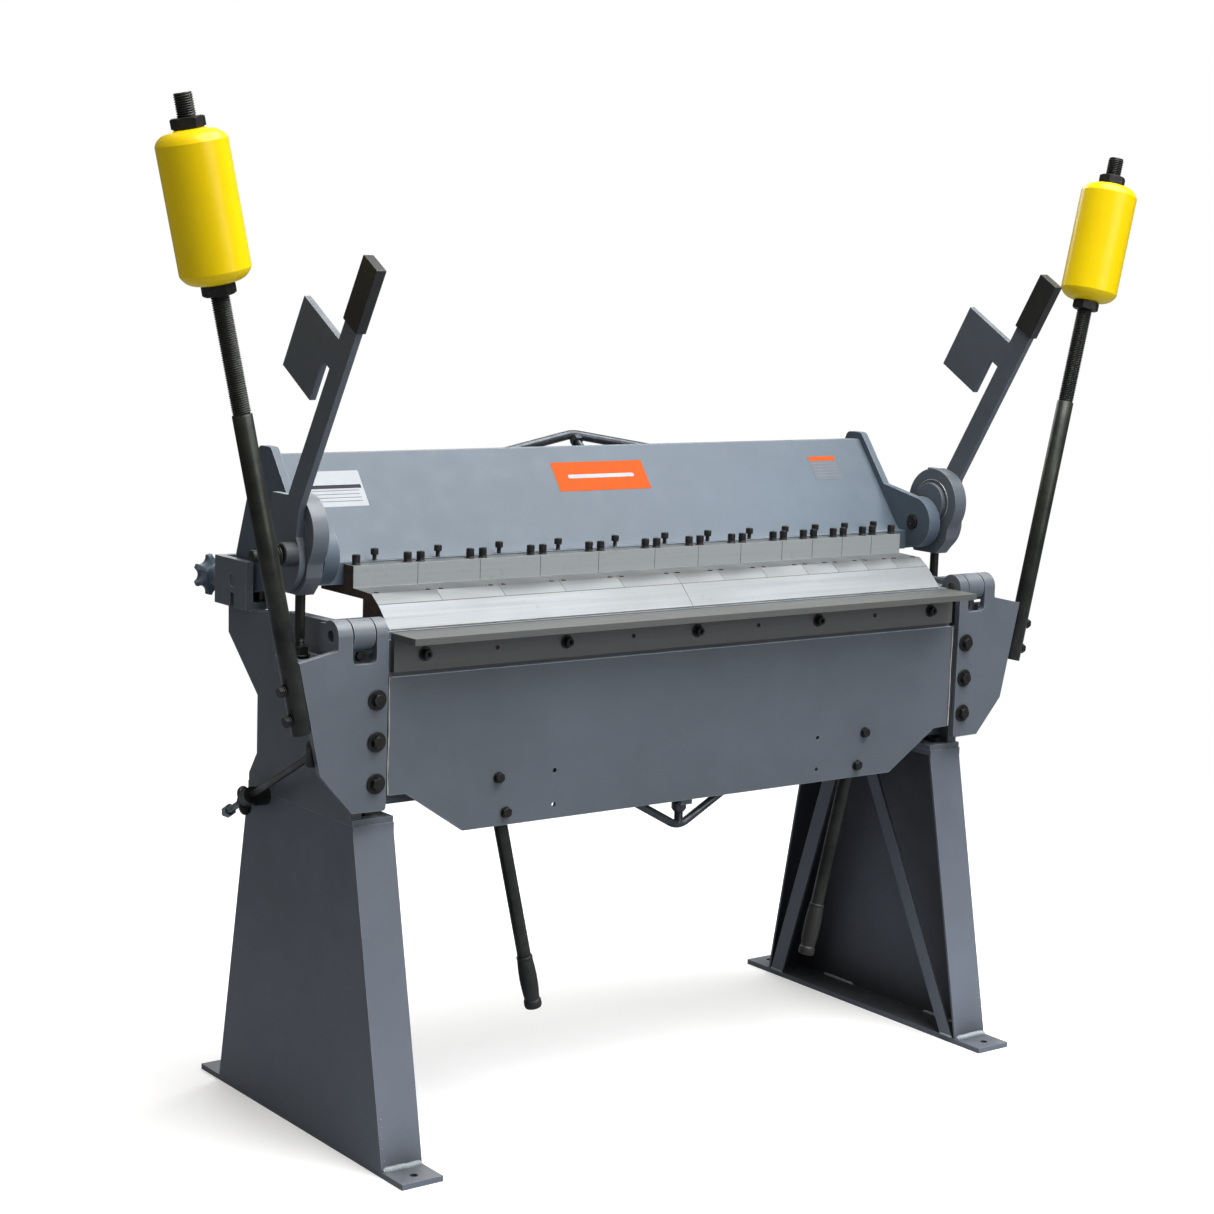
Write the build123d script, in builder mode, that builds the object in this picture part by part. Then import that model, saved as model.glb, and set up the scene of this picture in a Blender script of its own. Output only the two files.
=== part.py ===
from build123d import *
import math
import os

os.makedirs("parts", exist_ok=True)

# Box-and-pan sheet metal brake on two stands. Millimetres, +X right, +Y to the rear, +Z up.
# The origin is on the floor, in the middle of the four anchor holes.

# Working line: the sheet bends about this line, which runs along X.
BEND_Y = -174
BEND_Z = 880

# Finger set, from left to right, in inches.
INCH = 25.4
FINGER_INCHES = (5, 5, 5, 5, 5, 4, 4, 4, 3, 3, 3, 3)
REAR_SCREW_Y = -10.5
FINGER_GAP = 0.2
HALF_WORK = sum(FINGER_INCHES) * INCH / 2
SEAM_X = -HALF_WORK + 5 * 5 * INCH
FRONT_SCREW_INSET = 13

# Stands.
LEG_OUT = 690
LEG_IN = 612
LEG_TOP = 562
SHEET = 5
FOOT_FRONT = -347
FOOT_REAR = 345
FOOT_T = 10
ANCHOR_X = 652
ANCHOR_Y = 320
ANCHOR_R = 7

# Side frames and the bed between them.
SIDE_IN = 668
FLANGE_T = 10
KNUCKLE_R = 26
KNUCKLE_IN = 668.8
KNUCKLE_OUT = 708.6
BED_FRONT = -170
BED_NOSE_HALF = 638

# Clamp gear: fixed rear pivot, crank shaft in the beam, crank pin in the link ring.
PIVOT_Y, PIVOT_Z = 221, 918
SHAFT_Y, SHAFT_Z = -32, 992
RING_Y, RING_Z = -46, 1032
PIN_D = 20
SHAFT_R = 16
JOURNAL_R = 44
RING_R = 66
RING_IN, RING_OUT = 706, 736
RUN = 0.05
LINK_X = 721
BRACKET_Z = 800
BRACKET_T = 26

# Clamp handles.
HANDLE_IN = 736.6
HANDLE_T = 12
ARM_LEAN = 30.5
ARM_FRONT, ARM_REAR = -3.5, 37.5
ARM_LENGTH = 547
GRIP_START = 435

# Upper beam.
SOLE_Z = BEND_Z + 0.5
BEAM_UNDER = 937.3
END_IN, END_T = 668, 15

# Bending leaf.
PLATE_FRONT = -200
PLATE_T = 12
APRON_FRONT, APRON_T = -191, 8
LEAF_BACK_FRONT, LEAF_BACK_T = -183, 9
ANGLE_HALF = 630
EAR_INNER = (644.5, 666.6)
EAR_OUTER = (711, 738)
PLATE_BOLT_X = 664.7
PLATE_BOLT_Z = (637, 706, 775)

# Counterweight rods, parallel to the hinge plates' outer edges.
ROD_LEAN = 12.4
ROD_Y = PLATE_FRONT + PLATE_T / 2
ROD_R = 16
THREAD_R = 14.95
ROD_START_Z = 731
ROD_LENGTH = 1008
THREAD_START = 520
WEIGHT_R = 55
WEIGHT_LENGTH = 232
WEIGHT_START = 722
NUT_ACROSS = 46
NUT_T = 18

# Setback adjustment.
SPINDLE_X = 675.5
SPINDLE_Z = 912
SPINDLE_R = 8


def save(part, name):
    """Label one piece and write it to its own file."""
    part.label = name
    export_step(part, f"parts/{name}.step")


def save_pair(part, name):
    """Write a right-hand piece and its mirror image on the left-hand side."""
    save(part, f"{name}_right")
    save(mirror(part, about=Plane.YZ), f"{name}_left")


def both_sides(part):
    """A right-hand piece and its mirror image as one group."""
    return Compound(children=[*part.solids(), *mirror(part, about=Plane.YZ).solids()])


def side_plane(x):
    """Plane whose sketch is drawn in (y, z) and extruded along +X."""
    return Plane.YZ.offset(x)


def front_plane(y):
    """Plane whose sketch is drawn in (x, z); a negative extrusion runs to the rear."""
    return Plane.XZ.offset(-y)


def bar_between(start, end, radius):
    """Round bar from one point to another."""
    axis = Vector(*end) - Vector(*start)
    with BuildPart() as bar:
        with BuildSketch(Plane(origin=start, z_dir=axis)):
            Circle(radius)
        extrude(amount=axis.length)
    return bar.part


def headed_bolt(plane, across, head, shank_r, shank, washer_r=0, washer=0, round_head=False):
    """Bolt standing on a plane: washer and head outwards, shank inwards."""
    with BuildPart() as bolt:
        with BuildSketch(plane):
            Circle(shank_r)
        extrude(amount=-shank)
        if washer_r:
            with BuildSketch(plane):
                Circle(washer_r)
            extrude(amount=washer)
        with BuildSketch(plane.offset(washer)):
            if round_head:
                Circle(across / 2)
            else:
                RegularPolygon(across / 2, 6, major_radius=False)
        extrude(amount=head)
        if round_head:
            with BuildSketch(plane.offset(washer + head)):
                RegularPolygon(across / 4, 6, major_radius=False)
            extrude(amount=-head / 2, mode=Mode.SUBTRACT)
    return bolt.part


# ---------------------------------------------------------------- stands
def make_stand():
    web = [(-283, FOOT_T), (-175, 545), (-175, LEG_TOP), (180, LEG_TOP), (276, FOOT_T)]
    front_flange = [
        (-283, FOOT_T), (-175, 545), (-175, LEG_TOP), (-170, LEG_TOP), (-170, 544), (-278, FOOT_T),
    ]
    rear_flange = [(276, FOOT_T), (180, LEG_TOP), (175, LEG_TOP), (271, FOOT_T)]
    front_brace = [(40, 552), (-240, FOOT_T), (-272, FOOT_T), (8, 552)]
    rear_brace = [(64, 552), (100, 552), (268, FOOT_T), (232, FOOT_T)]
    with BuildPart() as stand:
        with BuildSketch(side_plane(LEG_OUT - SHEET)):
            with BuildLine():
                Polyline(*web, close=True)
            make_face()
        extrude(amount=SHEET)
        for outline in (front_flange, rear_flange):
            with BuildSketch(side_plane(LEG_IN)):
                with BuildLine():
                    Polyline(*outline, close=True)
                make_face()
            extrude(amount=LEG_OUT - LEG_IN)
        for outline in (front_brace, rear_brace):
            with BuildSketch(side_plane(LEG_IN)):
                with BuildLine():
                    Polyline(*outline, close=True)
                make_face()
            extrude(amount=6)
        with BuildSketch(Plane.XY.offset(LEG_TOP - 10)):
            with Locations(((LEG_IN + LEG_OUT) / 2, 2.5)):
                Rectangle(LEG_OUT - LEG_IN, 350)
        extrude(amount=10)
        with BuildSketch(Plane.XY):
            with Locations(((LEG_IN + LEG_OUT) / 2, (FOOT_FRONT + FOOT_REAR) / 2)):
                Rectangle(LEG_OUT - LEG_IN, FOOT_REAR - FOOT_FRONT)
        extrude(amount=FOOT_T)
        with Locations((ANCHOR_X, -ANCHOR_Y, FOOT_T), (ANCHOR_X, ANCHOR_Y, FOOT_T)):
            Hole(ANCHOR_R, depth=FOOT_T)
        with Locations((650, -145, LEG_TOP), (650, 10, LEG_TOP), (650, 155, LEG_TOP)):
            Hole(6.2, depth=10)
    return stand.part


save_pair(make_stand(), "stand")


# ---------------------------------------------------------------- side frames
def make_side_frame():
    cheek = [
        (-163, 572), (-163, 850), (-150, 889), (-80, 889), (50, 886), (140, 873), (259, 872),
        (258, 822), (151, 727), (151, 625), (178, 586), (178, 572),
    ]
    arm = [(-174, 806), (-174, 906), (-130, 893), (-90, 889), (-90, 850), (-135, 806)]
    with BuildPart() as frame:
        with BuildSketch(Plane.XY.offset(LEG_TOP)):
            with Locations(((LEG_IN + LEG_OUT) / 2, 4)):
                Rectangle(LEG_OUT - LEG_IN, 352)
        extrude(amount=FLANGE_T)
        with BuildSketch(side_plane(SIDE_IN)):
            with BuildLine():
                Polyline(*cheek, close=True)
            make_face()
        extrude(amount=LEG_OUT - SIDE_IN)
        with BuildSketch(side_plane(KNUCKLE_IN)):
            with BuildLine():
                Polyline(*arm, close=True)
            make_face()
            with Locations((BEND_Y, BEND_Z)):
                Circle(KNUCKLE_R)
        extrude(amount=KNUCKLE_OUT - KNUCKLE_IN)
        # Gusset outside the knuckle, behind the leaf's hinge plate.
        with BuildSketch(side_plane(KNUCKLE_OUT)):
            with Locations((-173, 818)):
                Rectangle(26, 56)
        extrude(amount=31.4)
        # Bore for the leaf's hinge pin.
        with BuildSketch(side_plane(KNUCKLE_IN - 1)):
            with Locations((BEND_Y, BEND_Z)):
                Circle(PIN_D / 2 + RUN)
        extrude(amount=60, mode=Mode.SUBTRACT)
        # Bracket for the clamp link, with a slot that lets the link rod swing.
        with BuildSketch(Plane.XY.offset(BRACKET_Z)):
            with Locations((LEG_OUT + 29, RING_Y)):
                Rectangle(58, 72)
        extrude(amount=BRACKET_T)
        with BuildSketch(Plane.XY.offset(BRACKET_Z)):
            with Locations((LINK_X, RING_Y)):
                SlotOverall(48, 22, rotation=90)
        extrude(amount=BRACKET_T, mode=Mode.SUBTRACT)
        # Housing in which the pivot block slides.
        with BuildSketch(Plane.XY.offset(872)):
            with Locations((676, 227.5)):
                Rectangle(56, 113)
        extrude(amount=84)
        with BuildSketch(Plane.XY.offset(884)):
            with Locations((675.2, 220)):
                Rectangle(29.4, 104)
        extrude(amount=72, mode=Mode.SUBTRACT)
        with BuildSketch(side_plane(690)):
            with Locations((PIVOT_Y, 884)):
                Rectangle(14, 26)
        extrude(amount=14, mode=Mode.SUBTRACT)
        with BuildSketch(side_plane(702)):
            with Locations((PIVOT_Y, PIVOT_Z)):
                Circle(11)
        extrude(amount=2, mode=Mode.SUBTRACT)
        with BuildSketch(front_plane(260)):
            with Locations((SPINDLE_X, SPINDLE_Z)):
                Circle(SPINDLE_R + 0.1)
        extrude(amount=-30, mode=Mode.SUBTRACT)
        with Locations((650, -145, 572), (650, 10, 572), (650, 155, 572)):
            Hole(6.2, depth=FLANGE_T)
        with BuildSketch(front_plane(-174)):
            with Locations((684, 844.8)):
                Circle(5.2)
        extrude(amount=-20, mode=Mode.SUBTRACT)
    return frame.part


save_pair(make_side_frame(), "side_frame")

with BuildPart() as bed_beam:
    with BuildSketch(Plane.XY.offset(840)):
        with Locations((0, -82)):
            Rectangle(2 * SIDE_IN, 124)
        with Locations((0, (BED_FRONT - 144) / 2)):
            Rectangle(2 * BED_NOSE_HALF, -144 - BED_FRONT)
    extrude(amount=BEND_Z - 840)
    with BuildSketch(side_plane(-SIDE_IN)):
        with Locations((-94, 712)):
            Rectangle(92, 256)
        with Locations((-94, 717.5)):
            Rectangle(68, 245, mode=Mode.SUBTRACT)
    extrude(amount=2 * SIDE_IN)
    nose = bed_beam.edges().filter_by(Axis.X).group_by(Axis.Y)[0]
    chamfer(nose.sort_by(Axis.Z)[-1], length=1)
save(bed_beam.part, "bed_beam")


def make_frame_bolts():
    stand_bolts = [
        headed_bolt(Plane.XY.offset(572).move(Location((650, y, 0))), 19, 8, 6, 20)
        for y in (-145, 10, 155)
    ]
    knuckle_plane = Plane(origin=(684, -174, 844.8), z_dir=(0, -1, 0))
    knuckle_bolt = headed_bolt(knuckle_plane, 15, 7, 5, 18)
    bolts = [*stand_bolts, knuckle_bolt]
    mirrored = [mirror(bolt, about=Plane.YZ) for bolt in bolts]
    return Compound(children=[solid for bolt in bolts + mirrored for solid in bolt.solids()])


save(make_frame_bolts(), "frame_bolts")

# ---------------------------------------------------------------- adjustable leaf stop, left side
SWIVEL = Vector(-722, 116, 558)
STOP_PAD = Vector(-768, -175, 690)
STOP_AXIS = (SWIVEL - STOP_PAD).normalized()
STOP_ROD_R = 6

with BuildPart() as stop_swivel:
    with BuildSketch(side_plane(-LEG_OUT)):
        with Locations((SWIVEL.Y, SWIVEL.Z)):
            Circle(17)
    extrude(amount=-22)
    with BuildSketch(Plane(origin=SWIVEL - STOP_AXIS * 14, z_dir=STOP_AXIS)):
        Circle(15)
    extrude(amount=28)
    with BuildSketch(Plane(origin=SWIVEL - STOP_AXIS * 20, z_dir=STOP_AXIS)):
        Circle(STOP_ROD_R + RUN)
    extrude(amount=40, mode=Mode.SUBTRACT)
save(stop_swivel.part, "stop_swivel")

with BuildPart() as stop_rod:
    with BuildSketch(front_plane(-187.5)):
        with Locations((STOP_PAD.X, STOP_PAD.Z + 4)):
            SlotOverall(44, 24, rotation=90)
    extrude(amount=-14)
    with BuildSketch(Plane(origin=STOP_PAD - STOP_AXIS * 8, z_dir=STOP_AXIS)):
        Circle(STOP_ROD_R)
    extrude(amount=(SWIVEL - STOP_PAD).length + 150)
    with BuildSketch(Plane(origin=SWIVEL + STOP_AXIS * 108, z_dir=STOP_AXIS)):
        RegularPolygon(10, 6, major_radius=False)
    extrude(amount=18)
save(stop_rod.part, "stop_rod")

LEVER_PLANE = Plane(origin=SWIVEL + STOP_AXIS * 22, x_dir=(0, 0, 1), z_dir=STOP_AXIS)
with BuildPart() as stop_lever:
    with BuildSketch(LEVER_PLANE):
        Circle(12)
    extrude(amount=16)
    with BuildSketch(LEVER_PLANE.offset(4)):
        SlotOverall(52, 10)
    extrude(amount=8)
    with BuildSketch(LEVER_PLANE.offset(-1)):
        Circle(STOP_ROD_R + RUN)
    extrude(amount=18, mode=Mode.SUBTRACT)
save(stop_lever.part, "stop_lever")

# ---------------------------------------------------------------- setback adjustment
with BuildPart() as pivot_block:
    with BuildSketch(Plane.XY.offset(885)):
        with Locations((675.2, 222)):
            Rectangle(28.6, 68)
        with Locations((END_IN + END_T / 2, 217.5)):
            Rectangle(END_T + 0.4, 66, mode=Mode.SUBTRACT)
    extrude(amount=60)
    with BuildSketch(side_plane(655)):
        with Locations((PIVOT_Y, PIVOT_Z)):
            Circle(PIN_D / 2 + RUN)
    extrude(amount=45, mode=Mode.SUBTRACT)
    with BuildSketch(front_plane(246)):
        with Locations((SPINDLE_X, SPINDLE_Z)):
            Circle(SPINDLE_R + RUN)
    extrude(amount=-11, mode=Mode.SUBTRACT)
save(both_sides(pivot_block.part), "pivot_blocks")

with BuildPart() as pivot_pin:
    with BuildSketch(side_plane(661)):
        with Locations((PIVOT_Y, PIVOT_Z)):
            Circle(PIN_D / 2)
    extrude(amount=28.4)
save(both_sides(pivot_pin.part), "pivot_pins")


def make_knob():
    with BuildPart() as knob:
        with BuildSketch(front_plane(247.5)):
            with Locations((SPINDLE_X, SPINDLE_Z)):
                Circle(SPINDLE_R)
        extrude(amount=-96)
        with BuildSketch(front_plane(304)):
            with Locations((SPINDLE_X, SPINDLE_Z)):
                Circle(19)
        extrude(amount=-34)
        with BuildSketch(front_plane(338)):
            with Locations((SPINDLE_X, SPINDLE_Z)):
                Circle(25)
                with PolarLocations(27, 7):
                    Circle(6.5)
        extrude(amount=-16)
        fillet(knob.edges().group_by(Axis.Y)[-1], radius=2)
    return knob.part


save_pair(make_knob(), "setback_knob")

# ---------------------------------------------------------------- upper beam
FRONT_BAR_TOP = 974
BEAM_TOP = 1143.2
with BuildPart() as upper_beam:
    outer = [
        (-16, BEAM_UNDER), (-16, FRONT_BAR_TOP), (4, FRONT_BAR_TOP), (16, 987), (132.9, BEAM_TOP),
        (152, BEAM_TOP), (152, BEAM_UNDER),
    ]
    void = [(24, 949), (24, 981), (136, 1130), (142, 1130), (142, 949)]
    with BuildSketch(side_plane(-END_IN)):
        with BuildLine():
            Polyline(*outer, close=True)
        make_face()
        with BuildLine():
            Polyline(*void, close=True)
        make_face(mode=Mode.SUBTRACT)
    extrude(amount=2 * END_IN)
    left_edge = -HALF_WORK
    for inches in FINGER_INCHES:
        centre = left_edge + inches * INCH / 2
        left_edge += inches * INCH
        with Locations((centre, REAR_SCREW_Y, FRONT_BAR_TOP)):
            Hole(4.2, depth=18)
save(upper_beam.part, "upper_beam")

with BuildPart() as end_plate:
    outline = [
        (128, 1157), (168, 1157), (205, 1075), (246, 963), (245, 918), (221, 894),
        (-32, 942), (-40, 1041.3), (54, 1060),
    ]
    with BuildSketch(side_plane(END_IN)):
        with BuildLine():
            Polyline(*outline, close=True)
        make_face()
        with Locations((SHAFT_Y, SHAFT_Z)):
            Circle(50)
        with Locations((PIVOT_Y, PIVOT_Z)):
            Circle(24)
    extrude(amount=END_T)
    fillet(end_plate.edges().filter_by(Axis.X).group_by(Axis.Z)[-1], radius=14)
    with BuildSketch(side_plane(END_IN + END_T)):
        with Locations((SHAFT_Y, SHAFT_Z)):
            Circle(50)
    extrude(amount=13)
    with BuildSketch(side_plane(END_IN)):
        with Locations((SHAFT_Y, SHAFT_Z)):
            Circle(SHAFT_R + RUN)
        with Locations((PIVOT_Y, PIVOT_Z)):
            Circle(PIN_D / 2 + RUN)
    extrude(amount=28, mode=Mode.SUBTRACT)
save_pair(end_plate.part, "end_plate")


def make_finger(left, width):
    """One clamping finger: front block, sloping face, sole and the foot under the beam."""
    outline = [
        (-113.9, SOLE_Z), (-113.9, 904), (-127.8, 918), (-106, 933), (-48, 935), (-48, 972),
        (-17, 972), (-17, 937), (57, 937), (57, 921), (-80, 921), (-80, SOLE_Z),
    ]
    screw_x = width / 2 - FRONT_SCREW_INSET
    centre = left + width / 2
    with BuildPart() as finger:
        with BuildSketch(side_plane(left + FINGER_GAP / 2)):
            with BuildLine():
                Polyline(*outline, close=True)
            make_face()
        extrude(amount=width - FINGER_GAP)
        with Locations((centre - screw_x, -35, 972), (centre + screw_x, -35, 972)):
            Hole(4.2, depth=20)
        with Locations((centre - screw_x, -97, 934), (centre + screw_x, -97, 934)):
            Hole(6.5, depth=14)
    return finger.part


finger_left = -HALF_WORK
for number, inches in enumerate(FINGER_INCHES, start=1):
    save(make_finger(finger_left, inches * INCH), f"finger_{number:02d}")
    finger_left += inches * INCH


def make_nose_bar(start, end):
    """Hardened bar along the fingers' tips."""
    outline = [(-165, SOLE_Z), (-165, SOLE_Z + 0.6), (-128, 918), (-114, 904), (-114, SOLE_Z)]
    with BuildPart() as bar:
        with BuildSketch(side_plane(start + FINGER_GAP / 2)):
            with BuildLine():
                Polyline(*outline, close=True)
            make_face()
        extrude(amount=end - start - FINGER_GAP)
    return bar.part


save(make_nose_bar(-HALF_WORK, SEAM_X), "nose_bar_left")
save(make_nose_bar(SEAM_X, HALF_WORK), "nose_bar_right")


def cap_screw(x, y, z, stand_off=0, washer=0):
    """Socket cap screw in a vertical hole, with washers or with its head standing off."""
    head_plane = Plane(origin=(x, y, z + stand_off), z_dir=(0, 0, 1))
    return headed_bolt(head_plane, 13, 8, 4, 16 + stand_off, 8 if washer else 0, washer, True)


def make_clamp_screws():
    screws = []
    left = -HALF_WORK
    for inches in FINGER_INCHES:
        width = inches * INCH
        centre = left + width / 2
        reach = width / 2 - FRONT_SCREW_INSET
        screws.append(cap_screw(centre - reach, -35, 972, washer=4.5))
        screws.append(cap_screw(centre + reach, -35, 972, washer=4.5))
        screws.append(cap_screw(centre, REAR_SCREW_Y, FRONT_BAR_TOP, stand_off=10))
        left += width
    return Compound(children=[screw.solid() for screw in screws])


save(make_clamp_screws(), "clamp_screws")

BEAM_TRUSS_APEX = (0, 204, 1158)
BEAM_TRUSS_END = (330, 162, 1100)
with BuildPart() as beam_truss:
    for side in (-1, 1):
        end = (side * BEAM_TRUSS_END[0], BEAM_TRUSS_END[1], BEAM_TRUSS_END[2])
        add(bar_between(end, BEAM_TRUSS_APEX, 6))
        with BuildSketch(front_plane(152)):
            with Locations((end[0], end[2])):
                RectangleRounded(40, 40, 6)
        extrude(amount=-16)
    with BuildSketch(front_plane(152)):
        with Locations((0, 1122)):
            RectangleRounded(24, 24, 4)
    extrude(amount=-10)
    add(bar_between((0, 158, 1122), (0, 208, 1162), 7))
save(beam_truss.part, "beam_truss")

# ---------------------------------------------------------------- clamp handles
ARM_PLANE = Plane(
    origin=(HANDLE_IN + HANDLE_T, SHAFT_Y, SHAFT_Z),
    x_dir=(0, -math.sin(math.radians(ARM_LEAN)), math.cos(math.radians(ARM_LEAN))),
    z_dir=(-1, 0, 0),
)
FLAG = ((266, 398), (62, 164))
SLOT_TOP = 343

with BuildPart() as clamp_handle:
    with BuildSketch(ARM_PLANE):
        Circle(58)
        with Locations((ARM_LENGTH / 2, (ARM_FRONT + ARM_REAR) / 2)):
            Rectangle(ARM_LENGTH, ARM_REAR - ARM_FRONT)
        with BuildLine():
            Polyline((0, -40), (101, ARM_FRONT), (101, 33), (72, 82), (12, 56.7), close=True)
        make_face()
        with Locations(((FLAG[0][0] + FLAG[0][1]) / 2, (FLAG[1][0] + FLAG[1][1]) / 2)):
            Rectangle(FLAG[0][1] - FLAG[0][0], FLAG[1][1] - FLAG[1][0])
        with Locations(((SLOT_TOP + FLAG[0][1]) / 2, 50)):
            Rectangle(FLAG[0][1] - SLOT_TOP, 26)
    extrude(amount=HANDLE_T)
    # Crank pin in the link ring, web, and shaft in the beam's boss.
    with BuildSketch(side_plane(RING_IN)):
        with Locations((RING_Y, RING_Z)):
            Circle(JOURNAL_R - RUN)
    extrude(amount=HANDLE_IN - RING_IN)
    with BuildSketch(side_plane(697)):
        with Locations((RING_Y, RING_Z)):
            Circle(38)
        with Locations((SHAFT_Y, SHAFT_Z)):
            Circle(28)
        make_hull()
    extrude(amount=RING_IN - 697.5)
    with BuildSketch(side_plane(670)):
        with Locations((SHAFT_Y, SHAFT_Z)):
            Circle(SHAFT_R)
    extrude(amount=30)
save_pair(clamp_handle.part, "clamp_handle")

with BuildPart() as handle_grip:
    with BuildSketch(ARM_PLANE.offset(-3)):
        with Locations(((GRIP_START + ARM_LENGTH + 3) / 2, (ARM_FRONT + ARM_REAR) / 2)):
            RectangleRounded(ARM_LENGTH + 3 - GRIP_START, ARM_REAR - ARM_FRONT + 6, 2)
    extrude(amount=HANDLE_T + 6)
    with BuildSketch(ARM_PLANE):
        with Locations((ARM_LENGTH / 2, (ARM_FRONT + ARM_REAR) / 2)):
            Rectangle(ARM_LENGTH, ARM_REAR - ARM_FRONT)
    extrude(amount=HANDLE_T, mode=Mode.SUBTRACT)
save_pair(handle_grip.part, "handle_grip")

LOCK_Y, LOCK_Z = -70, 1001
HANDLE_OUT = HANDLE_IN + HANDLE_T
with BuildPart() as lock_pin:
    for radius, start, length in ((17, HANDLE_OUT, 9), (7, HANDLE_OUT, 76), (11.5, 762, 26)):
        with BuildSketch(side_plane(-start)):
            with Locations((LOCK_Y, LOCK_Z)):
                Circle(radius)
        extrude(amount=-length)
    with BuildSketch(side_plane(-808)):
        with Locations((LOCK_Y, LOCK_Z)):
            RegularPolygon(15, 6, major_radius=False)
    extrude(amount=-16)
save(lock_pin.part, "lock_pin_left")

# ---------------------------------------------------------------- clamp links
with BuildPart() as clamp_ring:
    foot = [(-96, 990), (-96, 955), (-78, 931), (-2, 931), (8, 942), (8, 990)]
    with BuildSketch(side_plane(RING_IN)):
        with Locations((RING_Y, RING_Z)):
            Circle(RING_R)
        with BuildLine():
            Polyline(*foot, close=True)
        make_face()
        with Locations((RING_Y, RING_Z)):
            Circle(JOURNAL_R, mode=Mode.SUBTRACT)
    extrude(amount=RING_OUT - RING_IN)
    with BuildSketch(Plane.XY.offset(930)):
        with Locations((LINK_X, RING_Y)):
            Circle(10.1)
    extrude(amount=32, mode=Mode.SUBTRACT)
save_pair(clamp_ring.part, "clamp_ring")

with BuildPart() as link_rod:
    with BuildSketch(Plane.XY.offset(772)):
        with Locations((LINK_X, RING_Y)):
            Circle(9.5)
    extrude(amount=189)
    for level, height in ((778, 14), (831, 15), (914, 14)):
        with BuildSketch(Plane.XY.offset(level)):
            with Locations((LINK_X, RING_Y)):
                RegularPolygon(14, 6, major_radius=False)
        extrude(amount=height)
    for level in (792, 828):
        with BuildSketch(Plane.XY.offset(level)):
            with Locations((LINK_X, RING_Y)):
                Circle(15.5)
        extrude(amount=3)
save_pair(link_rod.part, "link_rod")

# ---------------------------------------------------------------- bending leaf
APRON_HALF = 634
APRON_TOP = 808
PULL_BOLTS = ((417.5, 620), (401.2, 558.5))
TRUSS_HOLES = ((300.5, 620), (300.5, 560))

with BuildPart() as apron_plate:
    right = [(APRON_HALF, APRON_TOP), (APRON_HALF, 612), (600, 611), (486.6, 535.8)]
    left = [(-x, z) for x, z in reversed(right)]
    with BuildSketch(front_plane(APRON_FRONT)):
        with BuildLine():
            Polyline(*right, *left, close=True)
        make_face()
        for x, z in PULL_BOLTS:
            with Locations((x, z), (-x, z)):
                Circle(5.2, mode=Mode.SUBTRACT)
        for x, z in TRUSS_HOLES:
            with Locations((x, z), (-x, z)):
                Circle(4.5, mode=Mode.SUBTRACT)
    extrude(amount=-APRON_T)
save(apron_plate.part, "apron_plate")

with BuildPart() as leaf_backing:
    with BuildSketch(front_plane(LEAF_BACK_FRONT)):
        with Locations((0, 779)):
            Rectangle(2 * APRON_HALF, 178)
        with Locations((-645, 710), (645, 710)):
            Rectangle(90, 184)
        with Locations((0, 545)):
            Rectangle(24, 40)
        with Locations((0, 630)):
            Rectangle(24, 160)
    extrude(amount=-LEAF_BACK_T)
    with BuildSketch(front_plane(-188)):
        with Locations((-667, 710), (667, 710)):
            Rectangle(45, 184)
    extrude(amount=-5)
    with BuildSketch(front_plane(-190)):
        for x in (-PLATE_BOLT_X, PLATE_BOLT_X):
            for z in PLATE_BOLT_Z:
                with Locations((x, z)):
                    Circle(6.2)
        for i in range(-2, 3):
            with Locations((i * 285.6, 843)):
                Circle(5.2)
    extrude(amount=-20, mode=Mode.SUBTRACT)
save(leaf_backing.part, "leaf_backing")

with BuildPart() as bending_angle:
    with BuildSketch(side_plane(-ANGLE_HALF)):
        with Locations((-188.5, 848)):
            Rectangle(11, 64)
        with Locations((-220, 874.5)):
            Rectangle(74, 11)
    extrude(amount=2 * ANGLE_HALF)
    with BuildSketch(front_plane(-196)):
        for i in range(-2, 3):
            with Locations((i * 285.6, 843)):
                Circle(5.2)
        for x in (-427.7, -142.1, 142.1, 427.7):
            with Locations((x, 843)):
                Circle(4.05)
    extrude(amount=-14, mode=Mode.SUBTRACT)
save(bending_angle.part, "bending_angle")


def make_angle_screws():
    screws = []
    for i in range(-2, 3):
        head_plane = Plane(origin=(i * 285.6, -194, 843), z_dir=(0, -1, 0))
        screws.append(headed_bolt(head_plane, 16, 10, 5, 18, 12, 2, round_head=True).solid())
    for x in (-427.7, -142.1, 142.1, 427.7):
        with BuildPart() as grub:
            with BuildSketch(front_plane(-195)):
                with Locations((x, 843)):
                    Circle(4)
            extrude(amount=-11)
            with BuildSketch(front_plane(-195)):
                with Locations((x, 843)):
                    RegularPolygon(2, 6, major_radius=False)
            extrude(amount=-4, mode=Mode.SUBTRACT)
        screws.append(grub.part.solid())
    return Compound(children=screws)


save(make_angle_screws(), "angle_screws")

EDGE_TILT = math.radians(ROD_LEAN)
EDGE_LOW = (768.4, 660)
EDGE_TOP_X = EDGE_LOW[0] + (845 - EDGE_LOW[1]) * math.tan(EDGE_TILT)

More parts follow.
